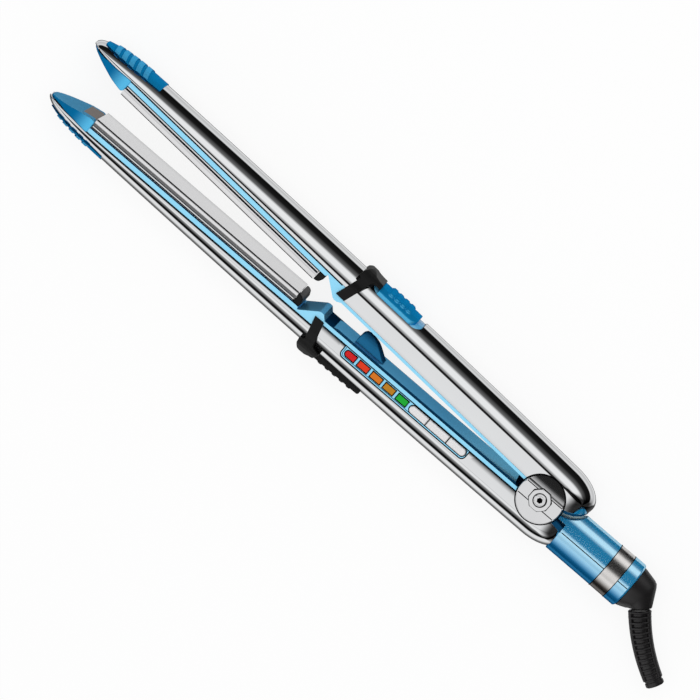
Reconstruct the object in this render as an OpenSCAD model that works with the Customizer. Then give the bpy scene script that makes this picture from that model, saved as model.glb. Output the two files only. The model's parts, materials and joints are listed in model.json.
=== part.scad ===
// Flat hair straightener lying on its side: two steel-clad arms on one hinge,
// floating heated plates, a round tail with a swivelling cord boot.
// X runs along the control arm to its tip, +Y from the plate face through the
// control arm, and Z is the hinge axis with the table at zero.

/* [Arms] */
// Distance from the hinge axis to the tips
arm_reach = 287.5; // [282:0.5:290]
// Width of both arms, across the plates
arm_width = 34; // [33:0.5:35]
// Height of an arm over the mating plane at the hinge
crown_rear = 19.5; // [19:0.1:20]
// How far the crown falls towards the tips before the nose
crown_fall = 4.2; // [3.8:0.1:4.6]
// Thickness of the polished steel shells
shell_wall = 1; // [0.8:0.1:1.1]
// Opening angle between the arms at rest
open_angle = 3.3; // [3:0.1:4]

/* [Plates] */
// Length of the heated plates
plate_length = 120; // [118:0.5:120]
// Width of the heated plates
plate_width = 32; // [30:0.5:32]
// Half of the gap left between the closed plates
plate_gap = 0.15; // [0.15:0.05:0.3]
// Distance from the hinge axis to the plates' rear end
plate_start = 142.9; // [142.9:0.1:144]

/* [Controls] */
// Length of one indicator lamp
lamp_length = 6.4; // [6:0.1:6.6]
// Height of the indicator lamps and the keys
lamp_height = 3.6; // [3.2:0.1:3.8]
// Distance between neighbouring lamps
lamp_pitch = 7.65; // [7.4:0.05:7.7]
// How far the keys stand out of their panel
key_proud = 0.9; // [0.8:0.1:1.2]

/* [Hinge] */
// Radius of the round caps over the hinge
cap_radius = 11.2; // [10.8:0.1:11.6]
// Radius of the hinge pin
pin_radius = 2.5; // [2.3:0.1:2.7]
// Radial clearance of the swinging knuckle on the pin
pin_clearance = 0.05; // [0.03:0.01:0.08]

/* [Tail and cord boot] */
// Diameter of the round tail
tail_diameter = 23.2; // [22.8:0.1:23.6]
// Distance from the mating plane to the tail's axis
tail_offset = 6.1; // [5.9:0.1:6.3]
// Radius of the hole that the mains cord passes through
cord_hole_radius = 3.1; // [3:0.1:3.2]
// Number of ribs on the strain relief
relief_ribs = 14; // [10:1:14]

/* [Hidden] */

// Middle of the width above the table, and how far collars and tips stand proud
side_proud = 1;
half_width = arm_width / 2;
mid_z = half_width + side_proud;

// Ends of the arm's loft: where the rear rounds off and where the nose begins
rear_start = -4;
rear_round = 17;
rear_height = 10.7;
nose_start = 246;
nose_height = 7.3;
tip_round_start = 262;
tip_round = arm_reach + 0.4 - tip_round_start;
body_centre = (arm_reach - 21) / 2;
body_half = (arm_reach + 21) / 2;
crown_points = 12;
crown_arc = 68;

// Edges of the steel along the handle and along the plates
upper_edge = 2.9;
lower_edge = 4.7;
front_edge = 8;
nose_edge = 7.2;
edge_step = 126;
upper_lip = 1.4;
lower_lip = 2.2;
face_height = 1.9;
face_half = 13;
groove = [8, 119.5];
groove_floor = 3.2;
floor_top = 4.4;

// Plates: length positions and heights over the mating plane
plate_end = plate_start + plate_length;
plate_skin = 1.3;
skin_back = plate_gap + plate_skin;
plate_depth = 3.5;
rim_height = 5.4;
carrier_back = 7.2;
pocket_floor = 8.6;
stop_rear = 139.1;
float_travel = 0.8;
pocket_top = carrier_back + float_travel + 0.1;
heater_inset = 24;
spring_inset = 27;
leaf = 0.3;

// Collars: a band that leans back, with a flared finger guard
collar_low = 3.1;
collar_front = 130.8;
collar_rear = 125.6;
collar_lean = 4.2;

// Thumb pad and rail
pad_front = 117.4;
pad_rear = 95;
pad_half = 12;
recess_end = 91.5;
rail_end = 93;

// Control panel on the near side of the control arm
panel_front = 111.7;
panel_rear = 37.9;
panel_top = 10;
lamp_row = 6.8;
first_lamp = 106.9;
side_z = mid_z + half_width;
bezel_z = side_z - 0.2;
bezel_thick = 1.5;
board_z = mid_z + 9.5;
board_thick = 1.2;
board_floor = floor_top;
key_gap = 0.25;
key_bottom = mid_z + 14.2;
key_travel = 0.6;

// Hinge knuckles
knuckle_radius = 9.5;
knuckle_gap = 0.6;
knuckle_inner = 7.2;
knuckle_side = 0.3;
boss_radius = 6;
boss_face = side_proud - 0.25;

// Tail stations
tail_radius = tail_diameter / 2;
tail_bore = 9.2;
tail_front = -16.6;
tail_nose = -10.8;
spigot_half = 6;
ring_front = -42.6;
end_ring_front = -50.7;
tail_end = -57.2;
scoop = [-10, -14, 15];

// Cord boot and strain relief: the sleeve leaves the elbow and bends back
relief_start = [-67, 10.7];
relief_heading = 129.5;
relief_turn = 21;
relief_bend = 84;
relief_straight = 6.2;
relief_core = 4;
rib_pitch = 2.35;
rib_width = 1.3;
rib_radius = 5.5;
rib_taper = 0.085;
mouth_radius = 4.35;
relief_end_heading = relief_heading + relief_turn;
relief_centre = relief_start + relief_bend * [-sin(relief_heading), cos(relief_heading)];
relief_tail = relief_centre + relief_bend * [sin(relief_end_heading), -cos(relief_end_heading)];
elbow = [-63.4, 6.3];
elbow_radius = 7.9;

$fn = 48;

// Outline rules of an arm, along its length

// 1 on the straight body, falling to 0 at the rounded rear end
function rear_factor(x) = x >= rear_start ? 1 : sqrt(max(0, 1 - pow((rear_start - x) / rear_round, 2)));

// 1 on the straight body, falling to 0 at the nose
function nose_factor(x) = x <= nose_start ? 1
    : pow(max(0, 1 - pow((x - nose_start) / (arm_reach + 0.2 - nose_start), 2.6)), 1 / 2.2);

function half_at(x) = x < rear_start ? half_width * rear_factor(x)
    : x <= tip_round_start ? half_width
    : half_width * pow(max(0, 1 - pow((x - tip_round_start) / tip_round, 2.4)), 1 / 2.4);

function crown_line(x) = crown_rear - crown_fall * pow(max(0, x) / 250, 2);

function crease_line(x) = 11.4 - 0.0105 * max(0, x);

function rounded(x, height) = x < rear_start ? rear_height + (height - rear_height) * rear_factor(x)
    : nose_height + (height - nose_height) * nose_factor(x);

function crown_at(x) = x < nose_start && x >= rear_start ? crown_line(x) : rounded(x, crown_line(x));

function crease_at(x) = x < nose_start && x >= rear_start ? crease_line(x) : rounded(x, crease_line(x));

function edge_at(x, edge) = x >= rear_start ? edge
    : rear_height - (rear_height - edge) * rear_factor(x);

// Places along the arm where its section is drawn
rear_places = [for (a = [12, 27, 42, 57, 74]) rear_start - rear_round * cos(a)];
body_places = [for (x = [-4, 50, 100, 150, 200, 246]) x];
nose_places = [for (u = [0.17, 0.33, 0.48, 0.6, 0.71, 0.81, 0.9, 0.97])
    nose_start + (arm_reach - nose_start) * sin(90 * u)];

// One section of the arm, grown outwards or inwards
function arm_section(x, edge, grow) =
    let (
        half = max(0.4, half_at(x) + grow),
        crease = crease_at(x) + grow * 0.5,
        crown = max(crease + 0.2, crown_at(x) + grow),
        low = edge_at(x, edge),
        place = body_centre + (x - body_centre) * (body_half + grow) / body_half
    )
    concat(
        [[place, low, mid_z - half]],
        [for (k = [0:crown_points])
            let (a = crown_arc * (2 * k / crown_points - 1))
            [
                place,
                crease + (crown - crease) * (cos(a) - cos(crown_arc)) / (1 - cos(crown_arc)),
                mid_z + half * sin(a) / sin(crown_arc)
            ]],
        [[place, low, mid_z + half]]
    );

// Solid through a row of arm sections
module arm_loft(places, edge, grow = 0) {
    n = crown_points + 3;
    last = len(places) - 1;
    polyhedron(
        points = [for (x = places) each arm_section(x, edge, grow)],
        faces = concat(
            [[for (j = [0:n - 1]) j]],
            [for (i = [0:last - 1], j = [0:n - 1])
                let (a = i * n + j, b = i * n + (j + 1) % n) [a, a + n, b]],
            [for (i = [0:last - 1], j = [0:n - 1])
                let (a = i * n + j, b = i * n + (j + 1) % n) [b, a + n, b + n]],
            [[for (j = [n - 1:-1:0]) last * n + j]]
        ),
        convexity = 6
    );
}

// Round wire along a line of points, each with the heading square to the wire there
module tube(line, out, radius, sides) {
    last = len(line) - 1;
    polyhedron(
        points = [for (i = [0:last], k = [0:sides - 1]) let (a = out[i], b = 360 * k / sides)
            line[i] + radius * (cos(b) * [cos(a), sin(a), 0] + [0, 0, sin(b)])],
        faces = concat(
            [[for (j = [0:sides - 1]) j]],
            [for (i = [0:last - 1], j = [0:sides - 1])
                let (a = i * sides + j, b = i * sides + (j + 1) % sides) [a, a + sides, b]],
            [for (i = [0:last - 1], j = [0:sides - 1])
                let (a = i * sides + j, b = i * sides + (j + 1) % sides) [b, a + sides, b + sides]],
            [[for (j = [sides - 1:-1:0]) last * sides + j]]
        ),
        convexity = 10
    );
}

// Places an arm's own shape on the free arm, mirrored and swung open
module free_arm() {
    rotate([0, 0, -open_angle]) mirror([0, 1, 0]) children();
}

// Extrudes a side outline, drawn along the arm and away from the plates
module across(half) {
    translate([0, 0, mid_z - half]) linear_extrude(2 * half) children();
}

// Extrudes a plan outline, drawn along the arm and across its width
module upward(low, high) {
    translate([0, high, mid_z]) rotate([90, 0, 0]) linear_extrude(high - low) children();
}

// Extrudes a section, drawn away from the plates and across the width
module along(from, to) {
    translate([from, 0, mid_z]) rotate([90, 0, 90]) linear_extrude(to - from) children();
}

module block(from, to, low, high, half) {
    translate([from, low, mid_z - half]) cube([to - from, high - low, 2 * half]);
}

// A rectangle with true round corners
module round_rect(from, to, low, high, r) {
    translate([from + r, low]) square([to - from - 2 * r, high - low]);
    translate([from, low + r]) square([to - from, high - low - 2 * r]);
    for (x = [from + r, to - r], y = [low + r, high - r]) translate([x, y]) circle(r);
}

// The arm seen from its crown, for pieces that end flush with the shell
module plan_outline(inset) {
    places = concat(rear_places, body_places, [tip_round_start], nose_places);
    polygon(concat(
        [for (x = places) [x, half_at(x) - inset]],
        [for (i = [len(nose_places) - 1:-1:0]) [nose_places[i], inset - half_at(nose_places[i])]],
        [[tip_round_start, inset - half_width]],
        [for (i = [len(body_places) - 1:-1:0]) [body_places[i], inset - half_width]],
        [for (i = [len(rear_places) - 1:-1:0]) [rear_places[i], inset - half_at(rear_places[i])]]
    ));
}

// Polished steel shells

module shell_body(edge) {
    difference() {
        arm_loft(concat(rear_places, body_places, nose_places), edge);
        arm_loft(concat([for (a = [30, 52, 74]) rear_start - rear_round * cos(a)], body_places,
            [for (i = [0:2:6]) nose_places[i]]), edge - 3, -shell_wall);
        // Opened higher up where the plates sit
        across(half_width + 1) polygon([
            [edge_step, edge - 4], [edge_step, front_edge], [tip_round_start, front_edge],
            [272, nose_edge], [arm_reach + 4, nose_edge], [arm_reach + 4, edge - 4]
        ]);
        // Round openings under the hinge caps
        translate([0, 0, -1]) cylinder(h = mid_z * 2 + 2, r = boss_radius + 0.5);
    }
}

module lower_shell() color("silver") difference() {
    shell_body(lower_edge);
    translate([tail_front - 20, 0, 0]) cube([20, 30, 2 * mid_z]);
    // Notch for the control panel, with rounded far corners
    translate([0, 0, side_z - 3]) linear_extrude(4) panel_outline(-0.1);
}

module upper_shell() color("silver") free_arm() difference() {
    shell_body(upper_edge);
    // Window for the thumb pad's tray
    upward(14, 22) pad_outline(-0.1);
}

module panel_outline(inset) {
    round_rect(panel_rear + inset, panel_front - inset, lower_edge - 2, panel_top - inset, 2.4);
    translate([panel_rear + inset, lower_edge - 1.2])
        square([panel_front - panel_rear - 2 * inset, 3.6]);
}

module pad_outline(inset) {
    round_rect(recess_end + inset, 121, inset - pad_half - 0.5, pad_half + 0.5 - inset, 5);
}

// Blue plastic liners

module liner_lip(edge, depth, rear) {
    places = concat([for (x = rear_places) if (x > rear) x], body_places);
    intersection() {
        across(half_width) polygon(concat(
            [[rear, edge_at(rear, edge)]],
            [for (x = places) if (x < edge_step) [x, edge_at(x, edge)]],
            [[edge_step, edge], [edge_step, edge - depth]],
            [for (i = [len(places) - 1:-1:0]) if (places[i] < edge_step)
                [places[i], edge_at(places[i], edge) - depth]],
            [[rear, edge_at(rear, edge) - depth]]
        ));
        upward(-1, 20) plan_outline(0.1);
    }
}

module liner_body(edge, depth, rear) {
    inner_half = half_width - shell_wall - 0.3;
    difference() {
        union() {
            difference() {
                liner_lip(edge, depth, rear);
                block(groove[0], groove[1], -1, groove_floor, half_width - 2.2);
            }
            // Floor of the handle with a raised inner face and a groove each side
            block(-6, edge_step, groove_floor, floor_top, inner_half - 0.1);
            across(face_half) polygon([
                [12, groove_floor], [13.5, face_height], [119, face_height], [123, groove_floor]
            ]);
            // Side walls standing inside the shell
            difference() {
                block(12, edge_step, floor_top, 8.5, inner_half);
                block(11, edge_step + 1, floor_top - 0.1, 9, inner_half - 1.2);
            }
            // Ramp that drops from the handle to the plates
            across(half_width - 0.1) polygon([
                [edge_step, edge - depth], [128, 0.4], [129.4, 0.3], [130.6, 0.7],
                [138.2, 6.2], [stop_rear, 6.6], [stop_rear, front_edge], [edge_step, front_edge]
            ]);
            // Tray round the plate
            across(half_width - 0.1) polygon([
                [stop_rear, rim_height + 0.6], [stop_rear + 0.6, rim_height], [plate_end, rim_height],
                [plate_end, front_edge - 0.08], [tip_round_start, front_edge], [stop_rear, front_edge]
            ]);
            along(edge_step, plate_end) polygon([
                [front_edge - 0.2, -15.5], [8.3, -15.5], [9.5, -13.2],
                [9.5, 13.2], [8.3, 15.5], [front_edge - 0.2, 15.5]
            ]);
        }
        // Pocket in which the plate floats, and slots for its end tongues
        block(plate_start, plate_end + 1, rim_height - 1, pocket_top, plate_width / 2 - 1.1);
        for (x = [plate_start + spring_inset, plate_end - spring_inset])
            block(x - 12, x + 12, rim_height, pocket_floor, 5);
        block(stop_rear + 0.8, plate_start + 1, rim_height + 0.1, pocket_top, 6.5);
        // Hollow under the ramp for the wires
        block(edge_step - 6, plate_start - 5, 8, pocket_floor + 4, 8);
        across(9) polygon([
            [edge_step - 2, floor_top], [130, floor_top], [136, 8.4], [edge_step - 2, 8.4]
        ]);
    }
}

module knuckle(low, high) {
    translate([0, 0, low]) cylinder(h = high - low, r = knuckle_radius);
    // Web that carries the knuckle into the handle floor
    translate([0, groove_floor, low]) cube([15, 5, high - low]);
}

module lower_liner() color("skyblue") difference() {
    union() {
        difference() {
            liner_body(lower_edge, lower_lip, tail_front);
            translate([0, 0, mid_z - knuckle_inner - knuckle_side])
                cylinder(h = 2 * (knuckle_inner + knuckle_side), r = knuckle_radius + knuckle_gap);
            // Room for the control panel and its board
            translate([panel_rear - 1.5, board_floor, board_z - 1])
                cube([panel_front - panel_rear + 3, 8, 12]);
        }
        for (side = [-1, 1]) {
            outer = 14.4;
            low = side > 0 ? mid_z + knuckle_inner + 0.3 : mid_z - outer;
            high = side > 0 ? mid_z + outer : mid_z - knuckle_inner - 0.3;
            knuckle(low, high);
        }
        // Bosses that carry the caps past the shells
        for (z = [boss_face, mid_z + 14]) translate([0, 0, z])
            cylinder(h = mid_z - 14 - boss_face, r = boss_radius);
        // Spigot inside the tail
        translate([-27, groove_floor, mid_z - spigot_half]) cube([19, 6.2, 2 * spigot_half]);
    }
    translate([0, 0, -1]) cylinder(h = 2 * mid_z + 2, r = pin_radius);
    translate([0, 0, mid_z - knuckle_inner - knuckle_side])
        cylinder(h = 2 * (knuckle_inner + knuckle_side), r = knuckle_radius + knuckle_gap);
}

module upper_liner() color("skyblue") free_arm() difference() {
    union() {
        difference() {
            liner_body(upper_edge, upper_lip, rear_places[0]);
            for (side = [-1, 1])
                translate([0, 0, mid_z + side * ((half_width + knuckle_inner) / 2 + 0.9)]) cylinder(
                    h = half_width - knuckle_inner + 2, r = knuckle_radius + knuckle_gap, center = true
                );
            // Slot that the alignment fin enters
            block(91, 111, 0, 6, 7.8);
        }
        knuckle(mid_z - knuckle_inner, mid_z - 0.4);
    }
    translate([0, 0, -1]) cylinder(h = 2 * mid_z + 2, r = pin_radius + pin_clearance);
    // Chamber for the torsion spring
    translate([0, 0, mid_z - 0.4]) cylinder(h = knuckle_inner + 0.7, r = knuckle_radius + knuckle_gap);
}

// Cool tips, deep blue, a little wider than the shells

module cool_tip() {
    notch = [plate_end - 1, plate_end + 2.6];
    difference() {
        intersection() {
            across(half_width + side_proud) polygon([
                [plate_end, 2.2], [plate_end + 1.1, 1.4], [270.4, 2.4], [276.7, 4],
                [arm_reach - 1, 6.3], [arm_reach - 0.4, nose_edge], [272, nose_edge],
                [plate_end, front_edge - 0.08]
            ]);
            upward(-1, 12) polygon(concat(
                [for (a = [90:-10:-90]) [
                    tip_round_start + 1 + (tip_round - 1.6) * pow(cos(a), 0.85),
                    (half_width + side_proud) * sin(a)
                ]],
                [[plate_end, -half_width - side_proud], [plate_end, half_width + side_proud]]
            ));
        }
        block(notch[0], notch[1], rim_height - 0.1, front_edge + 1, 6.5);
    }
}

module lower_cool_tip() color("steelblue") cool_tip();

module upper_cool_tip() color("steelblue") free_arm() cool_tip();

// Silicone grips over the crown of the tips, with slanted ridges
grip_rear = 250.9;
grip_front = 283.6;
grip_low = [13, 10.8];
grip_thick = 0.45;
ridge_height = 0.45;
ridge_width = 2.7;
ridge_pitch = 4.4;
ridge_front = 278.9;
ridge_lean = 0.7;

// Side outline of the grip, with its lower edge raised for the ridges
module grip_outline(rise) {
    polygon([
        [grip_rear + rise, 18], [grip_rear + rise, grip_low[0] + rise],
        [grip_front, grip_low[1] + rise], [grip_front, 18]
    ]);
}

module tip_grip() {
    places = concat([nose_start], nose_places);
    difference() {
        union() {
            intersection() {
                arm_loft(places, lower_edge, grip_thick);
                across(half_width + 2) grip_outline(0);
            }
            intersection() {
                arm_loft(places, lower_edge, grip_thick + ridge_height);
                across(half_width + 2) intersection() {
                    grip_outline(0.4);
                    for (i = [0:4]) translate([ridge_front - ridge_pitch * i, 15]) polygon([
                        [3 * ridge_lean - ridge_width / 2, 3], [3 * ridge_lean + ridge_width / 2, 3],
                        [ridge_width / 2 - 6 * ridge_lean, -6], [-ridge_width / 2 - 6 * ridge_lean, -6]
                    ]);
                }
            }
        }
        arm_loft(concat([nose_start - 8, nose_start], nose_places, [arm_reach + 0.1]), 0);
    }
}

module lower_tip_grip() color("dodgerblue") tip_grip();

module upper_tip_grip() color("dodgerblue") free_arm() tip_grip();

// Heated plates on floating carriers

module plate() {
    half = plate_width / 2;
    difference() {
        along(plate_start, plate_end) difference() {
            round_rect(plate_gap, plate_depth + 3, -half, half, 1.3);
            translate([plate_depth, -half - 1]) square([6, plate_width + 2]);
        }
        block(plate_start - 1, plate_end + 1, skin_back, plate_depth + 1, half - plate_skin);
    }
}

module plate_carrier() {
    half = plate_width / 2;
    inner = half - plate_skin - 0.1;
    difference() {
        union() {
            along(plate_start + 0.3, plate_end - 0.3) {
                translate([skin_back, -inner]) square([plate_depth - 1, 2 * inner]);
                round_rect(plate_depth - 0.6, carrier_back, -inner - 0.1, inner + 0.1, 0.6);
            }
            // Tongues held behind the stop and the cool tip
            block(plate_start - 2, plate_end + 2.2, rim_height + 0.6, carrier_back, 6);
        }
        // Bed of the heater, and lightening slots in the back
        block(plate_start + heater_inset, plate_end - heater_inset, 0, skin_back + 2, 8);
        for (i = [0:4]) block(plate_start + 10 + 22 * i, plate_start + 22 + 22 * i, 5.6, 8, 10);
    }
}

module heater() {
    inset = heater_inset + 0.2;
    block(plate_start + inset, plate_end - inset, skin_back, skin_back + 1.9, 7.8);
}

// Two bowed leaf springs: the middle bears on the carrier, the ends on the pocket's floor
module plate_springs() {
    radius = 40;
    spread = acos((radius - pocket_floor + carrier_back) / (radius - leaf));
    for (x = [plate_start + spring_inset, plate_end - spring_inset])
        translate([x, carrier_back + radius, mid_z - 4])
            rotate([0, 0, 270 - spread])
                rotate_extrude(angle = 2 * spread, $fn = 360)
                    translate([radius - leaf, 0]) square([leaf, 8]);
}

module plate_stop() {
    difference() {
        across(plate_width / 2) polygon([
            [stop_rear, rim_height], [stop_rear, 3.4], [stop_rear + 0.9, 1.4], [stop_rear + 2, 0.7],
            [plate_start - 0.2, 0.5], [plate_start - 0.2, rim_height]
        ]);
        // Corners cut back at a slant
        upward(-1, 3) for (side = [-1, 1])
            translate([plate_start - 3, side * (plate_width / 2 + 0.7)]) rotate(side * 25)
                square([8, 1.6], center = true);
    }
}

module lower_plate() color("lightgray") plate();
module lower_plate_carrier() color("gray") plate_carrier();
module lower_heater() color("ivory") heater();
module lower_plate_springs() color("darkgray") plate_springs();
module lower_plate_stop() color("black") plate_stop();
module upper_plate() color("lightgray") free_arm() plate();
module upper_plate_carrier() color("gray") free_arm() plate_carrier();
module upper_heater() color("ivory") free_arm() heater();
module upper_plate_springs() color("darkgray") free_arm() plate_springs();
module upper_plate_stop() color("black") free_arm() plate_stop();

// Black collars with finger guards

// Section of a collar: flat sides and an arched crown
module arch(half, shoulder, apex) {
    polygon(concat(
        [[0, -half]],
        [for (k = [0:20]) let (a = 9 * k - 90) [shoulder + (apex - shoulder) * cos(a), half * sin(a)]],
        [[0, half]]
    ));
}

// Leaning band seen from the side
module band_outline(top) {
    lean = collar_lean / 16;
    polygon([
        [collar_rear, collar_low], [collar_front, collar_low],
        [collar_front - lean * (top - 3), top], [collar_rear - lean * (top - 3), top]
    ]);
}

module collar_band(apex) {
    half = half_width + side_proud;
    intersection() {
        across(half) band_outline(24);
        along(118, 134) arch(half, 9.8, apex);
    }
}

module arm_core() {
    arm_loft([50, 100, 150], 0);
}

module upper_collar() color("dimgray") free_arm() difference() {
    union() {
        collar_band(19.6);
        intersection() {
            across(half_width) polygon([
                [129, 16], [128.6, 18.4], [127.2, 20.4], [125.6, 21.2], [124, 20.9], [122.4, 19.9],
                [120, 19.5], [pad_front, 19.4], [pad_front, 14.8], [125, 14.8]
            ]);
            along(116, 131) arch(half_width, 9.8, 21.2);
            upward(0, 30) polygon([
                [131, -18], [123.5, -18], [121.5, -12.2], [116, -12], [116, 12], [121.5, 12.2],
                [123.5, 18], [131, 18]
            ]);
        }
    }
    difference() {
        arm_core();
        // The pad's front part fills the shell's window
        upward(0, 30) pad_outline(0);
    }
    upward(0, 17.2) translate([90, -20]) square([31, 40]);
    tray_volume();
}

module lower_collar() color("dimgray") difference() {
    union() {
        collar_band(19.6);
        intersection() {
            across(half_width) polygon([
                [130, 16], [129.6, 19], [128, 21.6], [126.4, 22.7], [125, 22.8], [123.4, 22.2],
                [121.6, 21], [119.4, 20.4], [118, 17], [126, 14]
            ]);
            along(116, 132) arch(half_width, 9.8, 22.8);
        }
        // Ribbed rail that runs back along the crown
        intersection() {
            union() {
                across(6) {
                    polygon([[120, 16], [120, 20.4], [rail_end + 1.1, 20.3], [rail_end + 1.1, 16]]);
                    translate([rail_end + 1.1, 19.2]) circle(1.1);
                }
                for (i = [0:4]) translate([115.6 - 4.2 * i, 19.9, mid_z])
                    cylinder(h = 10, r = 1.4, center = true, $fn = 32);
            }
            along(90, 122) arch(13, 12, 21.6);
        }
    }
    arm_core();
}

// Thumb pad with four ridges, in a tray let into the shell

module tray_volume() {
    intersection() {
        upward(14, 30) pad_outline(0.1);
        arm_loft([50, 100, 150], 12, -0.7);
        block(80, 121, 14, 30, 20);
    }
}

module pad_tray() color("lightsteelblue") free_arm() difference() {
    tray_volume();
    arm_loft([50, 100, 150], 0, -1.6);
}

// Ridges across the pad, each in two steps that follow its crown
module pad_ridges(rise, half) {
    intersection() {
        arm_loft([50, 100, 150], 0, rise);
        upward(12, 30) for (i = [0:3]) let (x = 111.9 - 3.5 * i)
            round_rect(x - half, x + half, -8 - half, 8 + half, half - 0.05);
    }
}

module thumb_pad() color("steelblue") free_arm() difference() {
    union() {
        intersection() {
            arm_loft([50, 100, 150], 0, 1.1);
            upward(12, 30) difference() {
                round_rect(pad_rear, pad_front + 5, -pad_half, pad_half, 4);
                translate([pad_front, -20]) square([20, 40]);
            }
        }
        pad_ridges(1.6, 1.65);
        pad_ridges(2, 1.05);
    }
    arm_loft([50, 100, 150], 0, -0.7);
}

// Fin that lines the arms up as they close

module alignment_fin() color("navy") intersection() {
    across(7) polygon(concat(
        [for (k = [0:8]) let (u = k / 8) [92.8 + 12.4 * u, face_height - 6.2 * pow(sin(90 * u), 1.3)]],
        [[106.8, -4.6], [108.2, -3.9], [109.2, -2.2], [109.6, face_height]]
    ));
    along(90, 112) polygon([for (k = [0:12]) let (a = 15 * k)
        [face_height - 6.6 * pow(sin(a), 0.8), 7 * cos(a)]]);
}

// Control panel

module key_outline(from, to, round_front, round_rear, inset) {
    r = lamp_height / 2 - inset;
    a = from + inset;
    b = to - inset;
    translate([a + (round_rear ? r : 0), lamp_row - r])
        square([b - a - (round_rear ? r : 0) - (round_front ? r : 0), 2 * r]);
    if (round_rear) translate([a + r, lamp_row]) circle(r);
    if (round_front) translate([b - r, lamp_row]) circle(r);
}

// Keys as from, to, rounded front, rounded rear
keys = [[61.5, 71.5, true, false], [49.2, 61.0, false, false], [38.9, 48.7, false, true]];

module key(i, inset, low, high) {
    k = keys[i];
    translate([0, 0, low]) linear_extrude(high - low) key_outline(k[0], k[1], k[2], k[3], inset);
}

module lamp(i, inset, low, high) {
    x = first_lamp - lamp_pitch * i;
    translate([0, 0, low]) linear_extrude(high - low)
        key_outline(x - lamp_length / 2, x + lamp_length / 2, i == 0, false, inset);
}

module control_bezel() color("lightblue") difference() {
    translate([0, 0, bezel_z - bezel_thick]) linear_extrude(bezel_thick) intersection() {
        panel_outline(0.05);
        translate([0, board_floor + 0.05]) square([200, 20]);
    }
    for (i = [0:4]) lamp(i, -0.05, 30, side_z + 2);
    // One long well for the three keys
    translate([0, 0, 30]) linear_extrude(10)
        key_outline(keys[2][0], keys[0][1], true, true, -key_gap);
}

module lamp_lens(i) {
    lamp(i, 0, bezel_z - bezel_thick, side_z);
    x = first_lamp - lamp_pitch * i;
    // Light pipe down to its source
    translate([x, lamp_row, board_z + board_thick + 1.2])
        cylinder(h = bezel_z - bezel_thick - board_z - board_thick - 1.1, r = 1.2, $fn = 24);
}

module lamp_red() color("red") lamp_lens(0);
module lamp_orange_red() color("orangered") lamp_lens(1);
module lamp_orange() color("darkorange") lamp_lens(2);
module lamp_amber() color("orange") lamp_lens(3);
module lamp_green() color("green") lamp_lens(4);

module circuit_board() color("darkgreen") difference() {
    translate([panel_rear, board_floor, board_z]) cube([panel_front - panel_rear, 5.6, board_thick]);
    for (x = [panel_rear + 3, panel_front - 3]) translate([x, 8, board_z - 1])
        cylinder(h = board_thick + 2, r = 0.9, $fn = 24);
}

module indicator_leds() color("white") for (i = [0:4])
    translate([first_lamp - lamp_pitch * i - 1.2, lamp_row - 0.8, board_z + board_thick])
        cube([2.4, 1.6, 1.1]);

module key_switches() color("black") for (k = keys)
    translate([(k[0] + k[1]) / 2, lamp_row, board_z + board_thick]) {
        translate([-2.6, -1.6, 0]) cube([5.2, 3.2, 2]);
        cylinder(h = key_bottom - key_travel - 0.15 - board_z - board_thick, r = 1.1, $fn = 24);
    }

module key_body(i) {
    k = keys[i];
    key(i, 0, key_bottom, side_z + key_proud - 0.3);
    key(i, 0.25, key_bottom + 1, side_z + key_proud);
}

module power_key() color("gainsboro") key_body(0);
module plus_key() color("gainsboro") key_body(1);
module minus_key() color("gainsboro") key_body(2);

// Mains leads from the swivel over the hinge to the board

wire_route = [[-50.5, 13], [-22, 12.6], [16, 13], [32, 12], [36.5, 8.4]];
wire_apart = 2.2;
wire_radius = 1;

module mains_wires() color("firebrick") for (side = [-1, 1]) {
    last = len(wire_route) - 1;
    heading = [for (i = [0:last - 1])
        let (step = wire_route[i + 1] - wire_route[i]) atan2(step[1], step[0])];
    tube(
        [for (p = wire_route) [p[0], p[1], mid_z + wire_apart * side]],
        [for (i = [0:last]) 90 + (heading[max(0, i - 1)] + heading[min(last - 1, i)]) / 2],
        wire_radius, 8
    );
}

// Hinge
cap_thick = 1.4;
cap_groove = 3.4;
cap_slant = 8.6;
nut_inradius = 4.9;
nut_height = 1.3;
screw_radius = 2.9;
cap_z = 2 * mid_z - boss_face;

module hinge_pin() color("silver") {
    translate([0, 0, boss_face]) cylinder(h = 2 * (mid_z - boss_face), r = pin_radius);
}

module hinge_cap_front() color("whitesmoke") {
    round = 0.9;
    translate([0, 0, cap_z]) difference() {
        rotate_extrude() polygon(concat(
            [[0, 0], [cap_radius, 0]],
            [for (a = [0:15:90])
                [cap_radius - round + round * cos(a), cap_thick - round + round * sin(a)]],
            [[0, cap_thick]]
        ));
        // Two straight grooves beside the nut; beyond the first the cap slopes away
        for (side = [-1, 1]) translate([-cap_radius, side * cap_groove - 0.15, cap_thick - 0.25])
            cube([2 * cap_radius, 0.3, 1]);
        translate([-cap_radius - 1, -cap_groove - 0.15, cap_thick]) rotate([cap_slant, 0, 0])
            translate([0, -cap_radius, 0]) cube([2 * cap_radius + 2, cap_radius, 3]);
    }
}

module hinge_cap_back() color("whitesmoke") {
    rotate_extrude() polygon([
        [0, 0], [cap_radius - 0.35, 0], [cap_radius, 0.35], [cap_radius, boss_face], [0, boss_face]
    ]);
}

module hinge_nut() color("lightgray") {
    translate([0, 0, cap_z + cap_thick]) difference() {
        intersection() {
            rotate([0, 0, 22.5]) cylinder(h = nut_height, r = nut_inradius / cos(22.5), $fn = 8);
            cylinder(h = nut_height + 0.1, r1 = nut_inradius + 1.3, r2 = nut_inradius);
        }
        translate([0, 0, 0.3]) cylinder(h = 2, r = screw_radius + 0.2);
    }
}

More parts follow.
